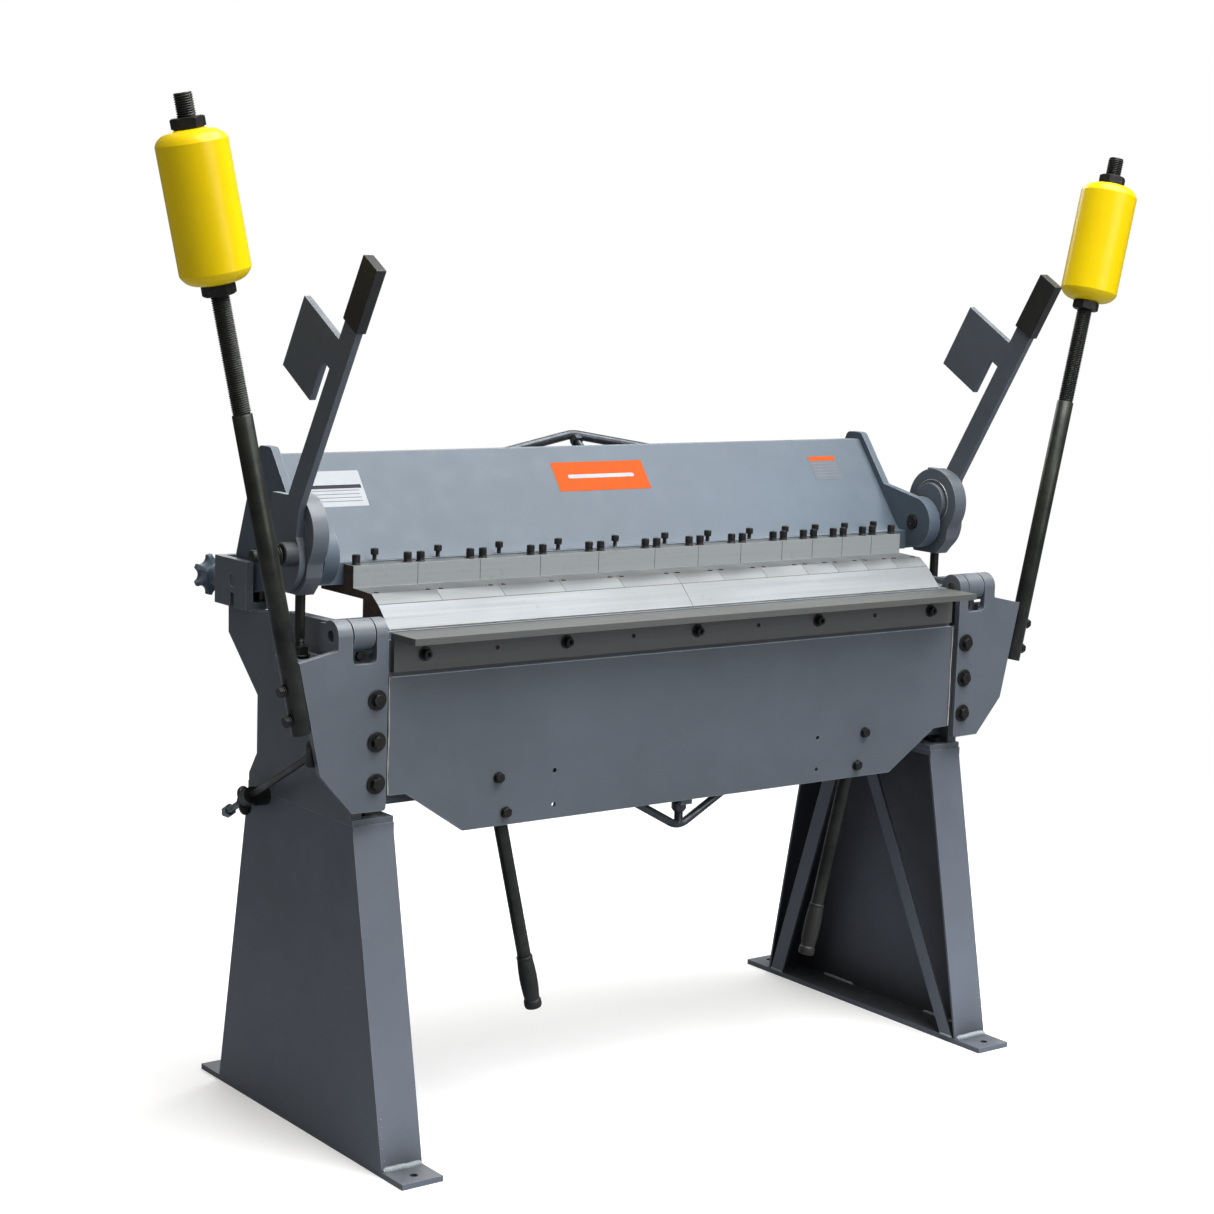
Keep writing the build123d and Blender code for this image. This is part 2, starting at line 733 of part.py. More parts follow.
with BuildPart() as hinge_plate:
    outline = [
        (EAR_INNER[0], BEND_Z), (EAR_INNER[0], 590), (708, 591), EDGE_LOW, (EDGE_TOP_X, 845),
        (740, 859.5), (EAR_OUTER[1], 862), (EAR_OUTER[1], BEND_Z),
    ]
    with BuildSketch(front_plane(PLATE_FRONT)):
        with BuildLine():
            Polyline(*outline, close=True)
        make_face()
        with Locations([(PLATE_BOLT_X, z) for z in PLATE_BOLT_Z]):
            Circle(6.5, mode=Mode.SUBTRACT)
    extrude(amount=-PLATE_T)
    corners = hinge_plate.edges().filter_by(Axis.Y).group_by(Axis.Z)[0]
    fillet(corners, radius=6)
    for start, end in (EAR_INNER, EAR_OUTER):
        with BuildSketch(side_plane(start)):
            with Locations((BEND_Y, BEND_Z)):
                Circle(KNUCKLE_R)
        extrude(amount=end - start)
    # Notch that clears the fixed knuckle.
    with BuildSketch(front_plane(-210)):
        with Locations(((EAR_INNER[1] + EAR_OUTER[0]) / 2, 876.5)):
            RectangleRounded(EAR_OUTER[0] - EAR_INNER[1], 83, 9)
    extrude(amount=-70, mode=Mode.SUBTRACT)
    with BuildSketch(side_plane(640)):
        with Locations((BEND_Y, BEND_Z)):
            Circle(PIN_D / 2 + RUN)
    extrude(amount=110, mode=Mode.SUBTRACT)
save_pair(hinge_plate.part, "hinge_plate")

with BuildPart() as hinge_pin:
    with BuildSketch(side_plane(648)):
        with Locations((BEND_Y, BEND_Z)):
            Circle(PIN_D / 2)
    extrude(amount=82)
save(both_sides(hinge_pin.part), "hinge_pins")


def bolt_group(spots, front, across, head, shank_r, shank, washer_r, washer):
    """Hex bolts on the leaf's front at (x, z) spots and at their mirror images."""
    solids = []
    for x, z in spots:
        for side in (-1, 1):
            head_plane = Plane(origin=(side * x, front, z), z_dir=(0, -1, 0))
            bolt = headed_bolt(head_plane, across, head, shank_r, shank, washer_r, washer)
            solids.append(bolt.solid())
    return Compound(children=solids)


plate_spots = [(PLATE_BOLT_X, z) for z in PLATE_BOLT_Z]
save(bolt_group(plate_spots, PLATE_FRONT, 19, 8, 6, 24, 17, 3), "plate_bolts")
save(bolt_group(PULL_BOLTS, APRON_FRONT, 16, 7, 5, 20, 10, 2), "pull_bolts")

LEAF_TRUSS_Y = -160
LEAF_TRUSS_LOW = (0, LEAF_TRUSS_Y, 488)
with BuildPart() as leaf_truss:
    for side in (-1, 1):
        add(bar_between((side * 250, LEAF_TRUSS_Y, 617), LEAF_TRUSS_LOW, 7))
        with BuildSketch(front_plane(-183)):
            with Locations((side * 250.5, 590)):
                RectangleRounded(36, 84, 6)
        extrude(amount=-30)
    with BuildSketch(Plane.XY.offset(484)):
        with Locations((0, LEAF_TRUSS_Y)):
            Circle(7)
    extrude(amount=70)
    with BuildSketch(Plane.XY.offset(500)):
        with Locations((0, LEAF_TRUSS_Y)):
            RegularPolygon(11, 6, major_radius=False)
    extrude(amount=14)
    with BuildSketch(Plane.XY.offset(530)):
        with Locations((0, -161.5)):
            Rectangle(27, 25)
    extrude(amount=24)
save(leaf_truss.part, "leaf_truss")

PULL_Y = -169
PULL_LEAN = math.radians(13.5)
PULL_MID = (409.4, 589.4)
PULL_TOP_Z, PULL_GRIP_Z, PULL_LOW_Z = 650, 291, 197


def pull_point(z):
    """Point of the right-hand pull handle's centre line at height z."""
    return (PULL_MID[0] + (z - PULL_MID[1]) * math.tan(PULL_LEAN), PULL_Y, z)


with BuildPart() as pull_handle:
    add(bar_between(pull_point(PULL_TOP_Z), pull_point(PULL_LOW_Z + 6), 12))
    with BuildSketch(front_plane(-190)):
        with Locations(*PULL_BOLTS):
            Circle(5.2)
    extrude(amount=-20, mode=Mode.SUBTRACT)
save(both_sides(pull_handle.part), "pull_handles")

with BuildPart() as pull_grip:
    add(bar_between(pull_point(PULL_GRIP_Z), pull_point(PULL_LOW_Z), 15))
    add(bar_between(pull_point(PULL_TOP_Z), pull_point(PULL_LOW_Z + 6), 12.1), mode=Mode.SUBTRACT)
save(both_sides(pull_grip.part), "pull_grips")

# ---------------------------------------------------------------- counterweights
ROD_START_X = EDGE_LOW[0] + (ROD_START_Z - EDGE_LOW[1]) * math.tan(EDGE_TILT)
ROD_START_X += (ROD_R + 0.2) / math.cos(EDGE_TILT)
ROD_PLANE = Plane(
    origin=(ROD_START_X, ROD_Y, ROD_START_Z),
    x_dir=(0, 1, 0),
    z_dir=(math.sin(EDGE_TILT), 0, math.cos(EDGE_TILT)),
)
ROD_BOLT_STEPS = (26, 76)
ROD_SIDE = Vector(math.cos(EDGE_TILT), 0, -math.sin(EDGE_TILT))


def rod_point(step):
    """Point on the right-hand rod's axis, step millimetres up from its lower end."""
    return ROD_PLANE.origin + ROD_PLANE.z_dir * step


with BuildPart() as counterweight_rod:
    with BuildSketch(ROD_PLANE):
        Circle(ROD_R)
    extrude(amount=THREAD_START)
    chamfer(counterweight_rod.edges().group_by(Axis.Z)[-1], length=1)
    with BuildSketch(ROD_PLANE.offset(THREAD_START)):
        Circle(THREAD_R)
    extrude(amount=ROD_LENGTH - THREAD_START)
    chamfer(counterweight_rod.edges().group_by(Axis.Z)[-1], length=2)
    # Cross holes for the two bolts at the rod's lower end.
    for step in ROD_BOLT_STEPS:
        with BuildSketch(Plane(origin=rod_point(step) - ROD_SIDE * 20, z_dir=ROD_SIDE)):
            Circle(5.2)
        extrude(amount=40, mode=Mode.SUBTRACT)
save(both_sides(counterweight_rod.part), "counterweight_rods")


def make_rod_bolts():
    solids = []
    for step in ROD_BOLT_STEPS:
        head_plane = Plane(origin=rod_point(step) + ROD_SIDE * ROD_R, z_dir=ROD_SIDE)
        solids.append(headed_bolt(head_plane, 17, 8, 5, 30, 10, 2).solid())
    mirrored = [mirror(solid, about=Plane.YZ) for solid in solids]
    return Compound(children=solids + mirrored)


save(make_rod_bolts(), "rod_bolts")

with BuildPart() as counterweight:
    with BuildSketch(ROD_PLANE.offset(WEIGHT_START)):
        Circle(WEIGHT_R)
    extrude(amount=WEIGHT_LENGTH)
    rims = counterweight.edges().filter_by(GeomType.CIRCLE)
    chamfer(rims, length=12, length2=26)
    fillet(counterweight.edges().filter_by(GeomType.CIRCLE), radius=5)
    with BuildSketch(ROD_PLANE.offset(WEIGHT_START - 1)):
        Circle(THREAD_R + RUN)
    extrude(amount=WEIGHT_LENGTH + 2, mode=Mode.SUBTRACT)
save_pair(counterweight.part, "counterweight")

with BuildPart() as weight_nuts:
    for level in (WEIGHT_START - NUT_T, WEIGHT_START + WEIGHT_LENGTH):
        with BuildSketch(ROD_PLANE.offset(level)):
            RegularPolygon(NUT_ACROSS / 2, 6, major_radius=False)
            Circle(THREAD_R + RUN, mode=Mode.SUBTRACT)
        extrude(amount=NUT_T)
save_pair(weight_nuts.part, "weight_nuts")
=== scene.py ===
import bpy
import math
from mathutils import Matrix, Vector, noise


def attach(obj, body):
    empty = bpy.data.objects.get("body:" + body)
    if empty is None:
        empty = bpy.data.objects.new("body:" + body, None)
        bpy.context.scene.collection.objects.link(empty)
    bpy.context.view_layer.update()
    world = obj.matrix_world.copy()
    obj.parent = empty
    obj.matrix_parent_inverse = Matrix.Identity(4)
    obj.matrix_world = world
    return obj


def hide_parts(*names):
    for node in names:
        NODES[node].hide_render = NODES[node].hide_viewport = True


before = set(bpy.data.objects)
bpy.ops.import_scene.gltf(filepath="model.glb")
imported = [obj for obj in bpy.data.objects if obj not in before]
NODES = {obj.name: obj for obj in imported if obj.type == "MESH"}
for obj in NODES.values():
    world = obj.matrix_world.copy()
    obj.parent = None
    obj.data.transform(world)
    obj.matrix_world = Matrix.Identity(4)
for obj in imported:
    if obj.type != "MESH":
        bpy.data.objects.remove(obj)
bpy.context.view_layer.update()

# Lengths in the geometry code are millimetres; make() scales them to metres.
MM = 0.001
TAU = 2 * math.pi
UP = Vector((0, 0, 1))
RIGHTWARD = Vector((1, 0, 0))
FORWARD = Vector((0, -1, 0))


# ---------------------------------------------------------------- materials
class Graph:
    """A material's node tree, with short calls for the nodes used here."""

    def __init__(self, name):
        self.material = bpy.data.materials.new(name)
        self.material.use_nodes = True
        self.tree = self.material.node_tree
        self.shader = self.tree.nodes["Principled BSDF"]
        self.place = self.node("ShaderNodeTexCoord").outputs["Object"]

    def node(self, kind, **settings):
        made = self.tree.nodes.new(kind)
        for key, value in settings.items():
            setattr(made, key, value)
        return made

    def link(self, value, socket):
        if isinstance(value, bpy.types.NodeSocket):
            self.tree.links.new(value, socket)
        elif isinstance(value, (tuple, list)) and len(value) == 3 and socket.type == "RGBA":
            socket.default_value = (*value, 1)
        else:
            socket.default_value = value

    def stretched(self, scale):
        mapping = self.node("ShaderNodeMapping")
        self.link(self.place, mapping.inputs["Vector"])
        mapping.inputs["Scale"].default_value = scale
        return mapping.outputs["Vector"]

    def noise(self, scale, detail=3, rough=0.55, place=None):
        made = self.node("ShaderNodeTexNoise")
        self.link(place or self.place, made.inputs["Vector"])
        made.inputs["Scale"].default_value = scale
        made.inputs["Detail"].default_value = detail
        made.inputs["Roughness"].default_value = rough
        return made.outputs["Fac"]

    def span(self, value, low, high, to_low=0.0, to_high=1.0):
        made = self.node("ShaderNodeMapRange", clamp=True)
        self.link(value, made.inputs["Value"])
        for key, number in (("From Min", low), ("From Max", high), ("To Min", to_low), ("To Max", to_high)):
            made.inputs[key].default_value = number
        return made.outputs["Result"]

    def math(self, operation, a, b=0.0):
        made = self.node("ShaderNodeMath", operation=operation)
        self.link(a, made.inputs[0])
        self.link(b, made.inputs[1])
        return made.outputs[0]

    def mix(self, share, a, b, blend="MIX"):
        made = self.node("ShaderNodeMix", data_type="RGBA", blend_type=blend)
        self.link(share, made.inputs["Factor"])
        self.link(a, made.inputs["A"])
        self.link(b, made.inputs["B"])
        return made.outputs["Result"]

    def edges(self, radius):
        """1 on worn edges, 0 on flats."""
        bevel = self.node("ShaderNodeBevel", samples=4)
        bevel.inputs["Radius"].default_value = radius
        geometry = self.node("ShaderNodeNewGeometry")
        dot = self.node("ShaderNodeVectorMath", operation="DOT_PRODUCT")
        self.link(bevel.outputs["Normal"], dot.inputs[0])
        self.link(geometry.outputs["Normal"], dot.inputs[1])
        return self.span(dot.outputs["Value"], 0.995, 0.80)

    def sideways(self, radius):
        """How far the rounded and the true surface face left or right."""
        results = []
        bevel = self.node("ShaderNodeBevel", samples=4)
        bevel.inputs["Radius"].default_value = radius
        for normal in (bevel.outputs["Normal"], self.node("ShaderNodeNewGeometry").outputs["Normal"]):
            split = self.node("ShaderNodeSeparateXYZ")
            self.link(normal, split.inputs[0])
            results.append(self.math("ABSOLUTE", split.outputs["X"]))
        return results

    def facing_up(self):
        geometry = self.node("ShaderNodeNewGeometry")
        split = self.node("ShaderNodeSeparateXYZ")
        self.link(geometry.outputs["Normal"], split.inputs[0])
        return split.outputs["Z"]

    def bump(self, *layers):
        """Stack of (height, strength, distance in metres) layers."""
        normal = None
        for height, strength, distance in layers:
            made = self.node("ShaderNodeBump")
            made.inputs["Strength"].default_value = strength
            made.inputs["Distance"].default_value = distance
            self.link(height, made.inputs["Height"])
            if normal is not None:
                self.link(normal, made.inputs["Normal"])
            normal = made.outputs["Normal"]
        self.link(normal, self.shader.inputs["Normal"])

    def set(self, **values):
        for key, value in values.items():
            self.link(value, self.shader.inputs[key.replace("_", " ")])
        return self.material


def painted(name, base, rough=0.40, wear=0.55, sheen=(0.60, 0.64, 0.68), shade=0.0):
    """Sprayed enamel on plate: clouding, orange peel, dust, thin paint and chips on edges.

    shade sets how dark the painted shade is inside a folded plate; with it, the outer faces also get painted
    light low down, for light bounced off the pale floor.
    """
    g = Graph(name)
    clouds = g.noise(2.6, 4)
    blotches = g.noise(23, 3)
    grains = g.noise(310, 2)
    dark = tuple(0.86 * c for c in base)
    light = tuple(min(1, 1.10 * c) for c in base)
    colour = g.mix(g.span(clouds, 0.3, 0.7), dark, light)
    colour = g.mix(g.span(blotches, 0.45, 0.75, 0, 0.22), colour, tuple(1.22 * c for c in base))
    dust = g.math("MULTIPLY", g.span(g.facing_up(), 0.5, 1.0, 0, 0.30), g.span(blotches, 0.3, 0.65))
    colour = g.mix(dust, colour, (0.33, 0.34, 0.34))
    edge = g.edges(0.0016)
    thin = g.math("MULTIPLY", edge, g.span(blotches, 0.30, 0.60, 0.35, 1.0))
    colour = g.mix(g.math("MULTIPLY", thin, wear), colour, sheen)
    chips = g.math("MULTIPLY", edge, g.span(g.noise(140, 2), 0.60, 0.66))
    colour = g.mix(g.math("MULTIPLY", chips, wear), colour, (0.40, 0.38, 0.35))
    if shade:
        corner = g.node("ShaderNodeAmbientOcclusion", samples=6, only_local=True)
        corner.inputs["Distance"].default_value = 0.45
        openness = corner.outputs["AO"]
        # Painted light: the outer faces get lighter low down, for light bounced off the pale floor.
        split = g.node("ShaderNodeSeparateXYZ")
        g.link(g.node("ShaderNodeNewGeometry").outputs["Position"], split.inputs[0])
        nearness = g.span(split.outputs["Z"], 0.40, 0.02, 0, 0.24)
        floor_bounce_light = g.math("MULTIPLY", nearness, g.span(openness, 0.80, 0.97))
        floor_bounce_light = g.math("MULTIPLY", floor_bounce_light, g.span(g.facing_up(), 0.2, 0.9, 1.0, 0.0))
        colour = g.mix(floor_bounce_light, colour, (0.38, 0.43, 0.53))
        # Painted shade: the enclosed inside of the folded plate is darkened.
        colour = g.mix(g.span(openness, 0.93, 0.55, 0, shade), colour, (0.012, 0.012, 0.014))
    g.bump((grains, 0.10, 0.0006), (g.noise(1100, 2), 0.10, 0.0002), (clouds, 0.05, 0.02))
    mottled = g.span(blotches, 0.3, 0.7, rough - 0.06, rough + 0.07)
    roughness = g.math("ADD", mottled, g.math("MULTIPLY", dust, 0.4))
    return g.set(
        Base_Color=colour, Roughness=roughness, Metallic=g.math("MULTIPLY", chips, 0.7),
        Coat_Weight=0.06, Coat_Roughness=0.35,
    )


def ground_steel(
    name, base, tint, rough=0.33, grain=(3, 420, 420), tint_share=0.35, metallic=0.9, rim=(0.82, 0.80, 0.72),
    top_shade=0.0, gap_shade_and_browning=0.0,
):
    """Ground tool steel: fine lines along the grinding direction, painted shade on upward faces, bright
    edges.

    Optional painted shade on faces that look upward, and painted shade along the side edges where
    neighbouring pieces meet, which also browns the end faces.
    """
    g = Graph(name)
    lines = g.noise(1.0, 4, 0.7, g.stretched(grain))
    broad = g.noise(5.5, 3)
    spots = g.noise(75, 3)
    piece = g.node("ShaderNodeObjectInfo").outputs["Random"]
    colour = g.mix(g.span(lines, 0.35, 0.65, 0, 0.35), base, tuple(0.84 * c for c in base))
    colour = g.mix(g.span(broad, 0.35, 0.72, 0, tint_share), colour, tint)
    colour = g.mix(g.span(piece, 0, 1, 0, 0.16), colour, tint)
    colour = g.mix(g.span(spots, 0.62, 0.78, 0, 0.25), colour, tuple(0.55 * c for c in tint))
    edge = g.edges(0.0009)
    colour = g.mix(g.math("MULTIPLY", edge, g.span(spots, 0.35, 0.6, 0.3, 0.7)), colour, rim)
    # Painted shade: faces that look upward are darkened, flat tops most.
    colour = g.mix(g.span(g.facing_up(), 0.25, 0.75, 0, top_shade), colour, (0, 0, 0))
    colour = g.mix(g.span(g.facing_up(), 0.90, 0.99, 0, top_shade * 1.1), colour, (0.02, 0.02, 0.018))
    if gap_shade_and_browning:
        sideways = g.sideways(0.0011)
        # Painted shade along the side edges, where neighbouring pieces meet.
        colour = g.mix(g.span(sideways[0], 0.06, 0.30, 0, gap_shade_and_browning), colour, (0.035, 0.030, 0.026))
        browned = g.mix(g.span(spots, 0.35, 0.7), (0.060, 0.042, 0.034), (0.125, 0.075, 0.048))
        colour = g.mix(g.span(sideways[1], 0.6, 0.9), colour, browned)
    g.bump((lines, 0.09, 0.0003), (spots, 0.04, 0.0008))
    lined = g.span(lines, 0.3, 0.7, rough - 0.05, rough + 0.08)
    roughness = g.math("ADD", lined, g.span(broad, 0.3, 0.7, 0, 0.08))
    return g.set(Base_Color=colour, Roughness=roughness, Metallic=metallic, Anisotropic=0.35)


def dark_steel(name, base, tint, rough=0.36, metallic=0.55, scale=14, wear=0.35):
    """Blackened bar and black-oxide fasteners: mill-scale mottling and rubbed edges."""
    g = Graph(name)
    mottle = g.noise(scale, 5, 0.65)
    fine = g.noise(240, 3)
    colour = g.mix(g.span(mottle, 0.35, 0.68), base, tint)
    edge = g.edges(0.0008)
    rubbed = g.math("MULTIPLY", edge, g.span(mottle, 0.3, 0.6, 0.3, 1.0))
    colour = g.mix(g.math("MULTIPLY", rubbed, wear), colour, (0.30, 0.31, 0.33))
    g.bump((fine, 0.14, 0.0004), (mottle, 0.12, 0.0012))
    roughness = g.span(mottle, 0.3, 0.7, rough + 0.10, rough - 0.06)
    return g.set(Base_Color=colour, Roughness=roughness, Metallic=metallic)


def moulded(name, base, rough=0.5, grain=900):
    """Moulded rubber or vinyl: fine grain and a faint handling shine."""
    g = Graph(name)
    handled = g.noise(18, 3)
    colour = g.mix(g.span(handled, 0.35, 0.7), base, tuple(1.7 * c for c in base))
    colour = g.mix(g.math("MULTIPLY", g.edges(0.0012), 0.35), colour, (0.16, 0.17, 0.17))
    g.bump((g.noise(grain, 2), 0.22, 0.0003), (handled, 0.08, 0.002))
    return g.set(Base_Color=colour, Roughness=g.span(handled, 0.3, 0.7, rough + 0.08, rough - 0.10))


def glossy(name, base, shade):
    """Thick gloss enamel with slow waves, fine peel and a little handling dirt; a faint glow in its own
    colour is painted light that lifts the shaded side.
    """
    g = Graph(name)
    waves = g.noise(7, 3)
    marks = g.noise(60, 4, 0.7)
    colour = g.mix(g.span(waves, 0.3, 0.72), base, shade)
    colour = g.mix(g.span(marks, 0.66, 0.82, 0, 0.18), colour, tuple(0.6 * c for c in shade))
    colour = g.mix(g.math("MULTIPLY", g.edges(0.0010), 0.30), colour, (0.90, 0.48, 0.01))
    g.bump((g.noise(190, 2), 0.05, 0.0006), (waves, 0.06, 0.006))
    roughness = g.span(marks, 0.4, 0.75, 0.26, 0.38)
    # Painted light: the emission makes the enamel glow faintly in its own colour.
    return g.set(
        Base_Color=colour, Roughness=roughness, Specular_IOR_Level=0.22,
        Coat_Weight=0.10, Coat_Roughness=0.10, Emission_Color=base, Emission_Strength=0.17,
    )


def print_film(name, base):
    """Printed matt vinyl: slight fading and a fine texture."""
    g = Graph(name)
    fade = g.noise(35, 3)
    colour = g.mix(g.span(fade, 0.3, 0.7), tuple(0.90 * c for c in base), base)
    g.bump((g.noise(800, 2), 0.06, 0.0002))
    return g.set(
        Base_Color=colour, Roughness=g.span(fade, 0.3, 0.7, 0.52, 0.64), Specular_IOR_Level=0.08)


PAINT = painted("blue_grey_enamel", (0.108, 0.127, 0.150))
PAINT_BEAM = painted("blue_grey_enamel_beam", (0.078, 0.108, 0.142), 0.56)
PAINT_STAND = painted("blue_grey_enamel_stand", (0.114, 0.132, 0.162), 0.46, 0.45, shade=0.80)
WELD = painted("enamelled_weld", (0.33, 0.37, 0.41), 0.28, 0.4)
STEEL = ground_steel(
    "ground_tool_steel", (0.375, 0.405, 0.425), (0.36, 0.365, 0.35), 0.52, (2, 260, 260), 0.25,
    metallic=0.40, top_shade=0.40, gap_shade_and_browning=0.92)
STEEL_ANGLE = ground_steel(
    "ground_angle_steel", (0.130, 0.139, 0.135), (0.124, 0.128, 0.112), 0.44, (3, 300, 300), 0.30, 0.30,
    rim=(0.42, 0.34, 0.16)
)
FILLER = painted("pale_filler", (0.46, 0.45, 0.40), 0.6, 0.1)
BROWNED = dark_steel("browned_steel", (0.050, 0.034, 0.026), (0.100, 0.062, 0.040), 0.5, 0.2, 60, 0.1)
STEEL_BRIGHT = ground_steel("polished_rim", (0.62, 0.62, 0.60), (0.50, 0.49, 0.46), 0.30)
STEEL_PIN = ground_steel("turned_pin_steel", (0.30, 0.30, 0.30), (0.22, 0.20, 0.17), 0.38)
BAR = dark_steel("blackened_bar", (0.016, 0.018, 0.016), (0.050, 0.054, 0.044))
OXIDE = dark_steel("black_oxide", (0.014, 0.014, 0.014), (0.036, 0.035, 0.034), 0.40, 0.6, 90, 0.5)
ZINC = dark_steel("zinc_plated", (0.14, 0.17, 0.19), (0.28, 0.31, 0.34), 0.30, 0.9, 60, 0.5)
BOSS = painted("turned_boss_enamel", (0.036, 0.046, 0.055), 0.45, 0.25)
TRUSS = dark_steel("drawn_rod_enamel", (0.045, 0.052, 0.060), (0.085, 0.096, 0.108), 0.26, 0.55, 40, 0.3)
RUBBER = moulded("black_vinyl", (0.014, 0.014, 0.013))
YELLOW = glossy("yellow_enamel", (0.730, 0.530, 0.001), (0.700, 0.490, 0.001))
LABEL_WHITE = print_film("label_white", (0.43, 0.45, 0.48))
LABEL_ORANGE = print_film("label_orange", (0.50, 0.085, 0.012))
LABEL_GREY = print_film("label_grey", (0.20, 0.21, 0.25))
LABEL_SLATE = print_film("label_slate", (0.15, 0.165, 0.19))
LABEL_DARK = print_film("label_dark", (0.035, 0.035, 0.045))


# ---------------------------------------------------------------- mesh building
class Shape:
    """Vertices in millimetres and faces, gathered into one mesh."""

    def __init__(self):
        self.verts = []
        self.faces = []

    def add(self, part, place=None):
        verts, faces = part
        base = len(self.verts)
        move = place or Matrix.Identity(4)
        self.verts += [move @ Vector(v) for v in verts]
        self.faces += [tuple(base + i for i in f) for f in faces]
        return self


def make(shape, name, material, body, stands_for=(), bevel=0.0, sharp=32):
    """Turn a Shape into a piece that rides on a body."""
    mesh = bpy.data.meshes.new(name)
    mesh.from_pydata([v * MM for v in shape.verts], [], shape.faces)
    mesh.validate()
    mesh.polygons.foreach_set("use_smooth", [True] * len(mesh.polygons))
    mesh.set_sharp_from_angle(angle=math.radians(sharp))
    mesh.materials.append(material)
    piece = bpy.data.objects.new(name, mesh)
    bpy.context.scene.collection.objects.link(piece)
    if bevel:
        add_bevel(piece, bevel)
    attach(piece, body)
    if stands_for:
        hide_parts(*stands_for)
    return piece


def add_bevel(piece, width, angle=38):
    """Small rounded edges, with normals that keep the flats flat."""
    bevel = piece.modifiers.new("edge", "BEVEL")
    bevel.width = width * MM
    bevel.segments = 2
    bevel.limit_method = "ANGLE"
    bevel.angle_limit = math.radians(angle)
    bevel.use_clamp_overlap = True
    normals = piece.modifiers.new("normals", "WEIGHTED_NORMAL")
    normals.keep_sharp = False
    normals.weight = 80


def frame_at(origin, z_axis, x_hint=None):
    """Matrix from local axes to a place, local Z along z_axis."""
    z = Vector(z_axis).normalized()
    hint = Vector(x_hint) if x_hint is not None else (RIGHTWARD if abs(z.x) < 0.9 else Vector((0, 1, 0)))
    y = z.cross(hint).normalized()
    x = y.cross(z)
    matrix = Matrix((x, y, z)).transposed().to_4x4()
    matrix.translation = Vector(origin)
    return matrix


def raised(place, distance):
    """The same place, moved along its own Z."""
    return place @ Matrix.Translation((0, 0, distance))


def lathe(profile, segments=48, closed=False):
    """Solid of revolution about Z. Radii and heights may be functions of the angle."""
    verts = []
    faces = []
    rows = []
    for radius, height in profile:
        start = len(verts)
        if not callable(radius) and radius < 1e-6:
            verts.append((0, 0, height))
            rows.append([start])
            continue
        for i in range(segments):
            a = TAU * i / segments
            r = radius(a) if callable(radius) else radius
            z = height(a) if callable(height) else height
            verts.append((r * math.cos(a), r * math.sin(a), z))
        rows.append(list(range(start, start + segments)))
    pairs = list(zip(rows, rows[1:]))
    if closed:
        pairs.append((rows[-1], rows[0]))
    for low, high in pairs:
        for i in range(segments):
            j = (i + 1) % segments
            if len(low) == 1:
                faces.append((low[0], high[j], high[i]))
            elif len(high) == 1:
                faces.append((low[i], low[j], high[0]))
            else:
                faces.append((low[i], low[j], high[j], high[i]))
    return verts, faces


def hex_radius(across):
    """Distance to a hexagon's side at each angle."""
    def radius(angle):
        return across / 2 / math.cos((angle % (math.pi / 3)) - math.pi / 6)
    return radius


def hex_part(across, height, bore=0.0, both=False):
    """Hexagon head or nut with a turned chamfer."""
    side = hex_radius(across)
    turned = across / 2 * 0.965

    def drop(angle):
        return max(0.0, side(angle) - turned) * 0.55

    def rim(angle):
        return min(side(angle), turned)

    bottom = [(rim, 0.0), (side, drop)] if both else [(side, 0.0)]
    top = [(side, lambda a: height - drop(a)), (rim, height)]
    if bore:
        return lathe([(bore, 0.0), *bottom, *top, (bore, height)], 72, closed=True)
    return lathe([(0.0, 0.0), *bottom, *top, (across * 0.30, height), (0.0, height - 0.3)], 72)


def washer(radius, thickness, bore):
    e = min(0.6, thickness * 0.35)
    return lathe([
        (bore, 0), (radius - e, 0), (radius, e),
        (radius, thickness - e), (radius - e, thickness), (bore, thickness),
    ], 40, closed=True)


def cap_head(radius, height, socket):
    """Knurled cylinder head with a hexagon socket."""
    def knurl(angle):
        return radius - (0.0 if round(angle / TAU * 64) % 2 else radius * 0.045)

    return lathe([
        (0, 0), (radius * 0.94, 0), (radius * 0.96, height * 0.08), (knurl, height * 0.12),
        (knurl, height * 0.86), (radius * 0.97, height * 0.90), (radius * 0.90, height),
        (socket / 2 + 0.9, height), (hex_radius(socket), height - 0.4), (hex_radius(socket), height * 0.45),
        (0, height * 0.36),
    ], 64)


def thread(root, crest, start, end, pitch, segments=30, per_turn=8):
    """Bar with a helical thread between two heights."""
    rows = int(round((end - start) / pitch * per_turn))

    def row(k):
        height = start + (end - start) * k / rows
        ease = min(1.0, k / per_turn, (rows - k) / per_turn)

        def radius(angle):
            phase = (height / pitch - angle / TAU) % 1.0
            depth = min(1.0, max(0.0, (abs(phase - 0.5) * 2 - 0.12) / 0.76))
            return root + (crest - root) * ease * depth
        return radius, height

    return lathe([(0, start), *[row(k) for k in range(rows + 1)], (0, end)], segments)


def tube(points, radius, segments=16):
    """Round bar along a path; the radius may be a function of the share travelled."""
    points = [Vector(p) for p in points]
    verts = []
    faces = []
    side = None
    count = len(points)
    for k, point in enumerate(points):
        ahead = (points[min(k + 1, count - 1)] - points[max(k - 1, 0)]).normalized()
        if side is None:
            side = ahead.orthogonal().normalized()
        side = (side - ahead * side.dot(ahead)).normalized()
        other = ahead.cross(side)
        r = radius(k / (count - 1)) if callable(radius) else radius
        for i in range(segments):
            a = TAU * i / segments
            verts.append(point + side * (r * math.cos(a)) + other * (r * math.sin(a)))
    for k in range(count - 1):
        for i in range(segments):
            j = (i + 1) % segments
            a, b = k * segments, (k + 1) * segments
            faces.append((a + i, a + j, b + j, b + i))
    faces.append(tuple(reversed(range(segments))))
    faces.append(tuple(range((count - 1) * segments, count * segments)))
    return verts, faces


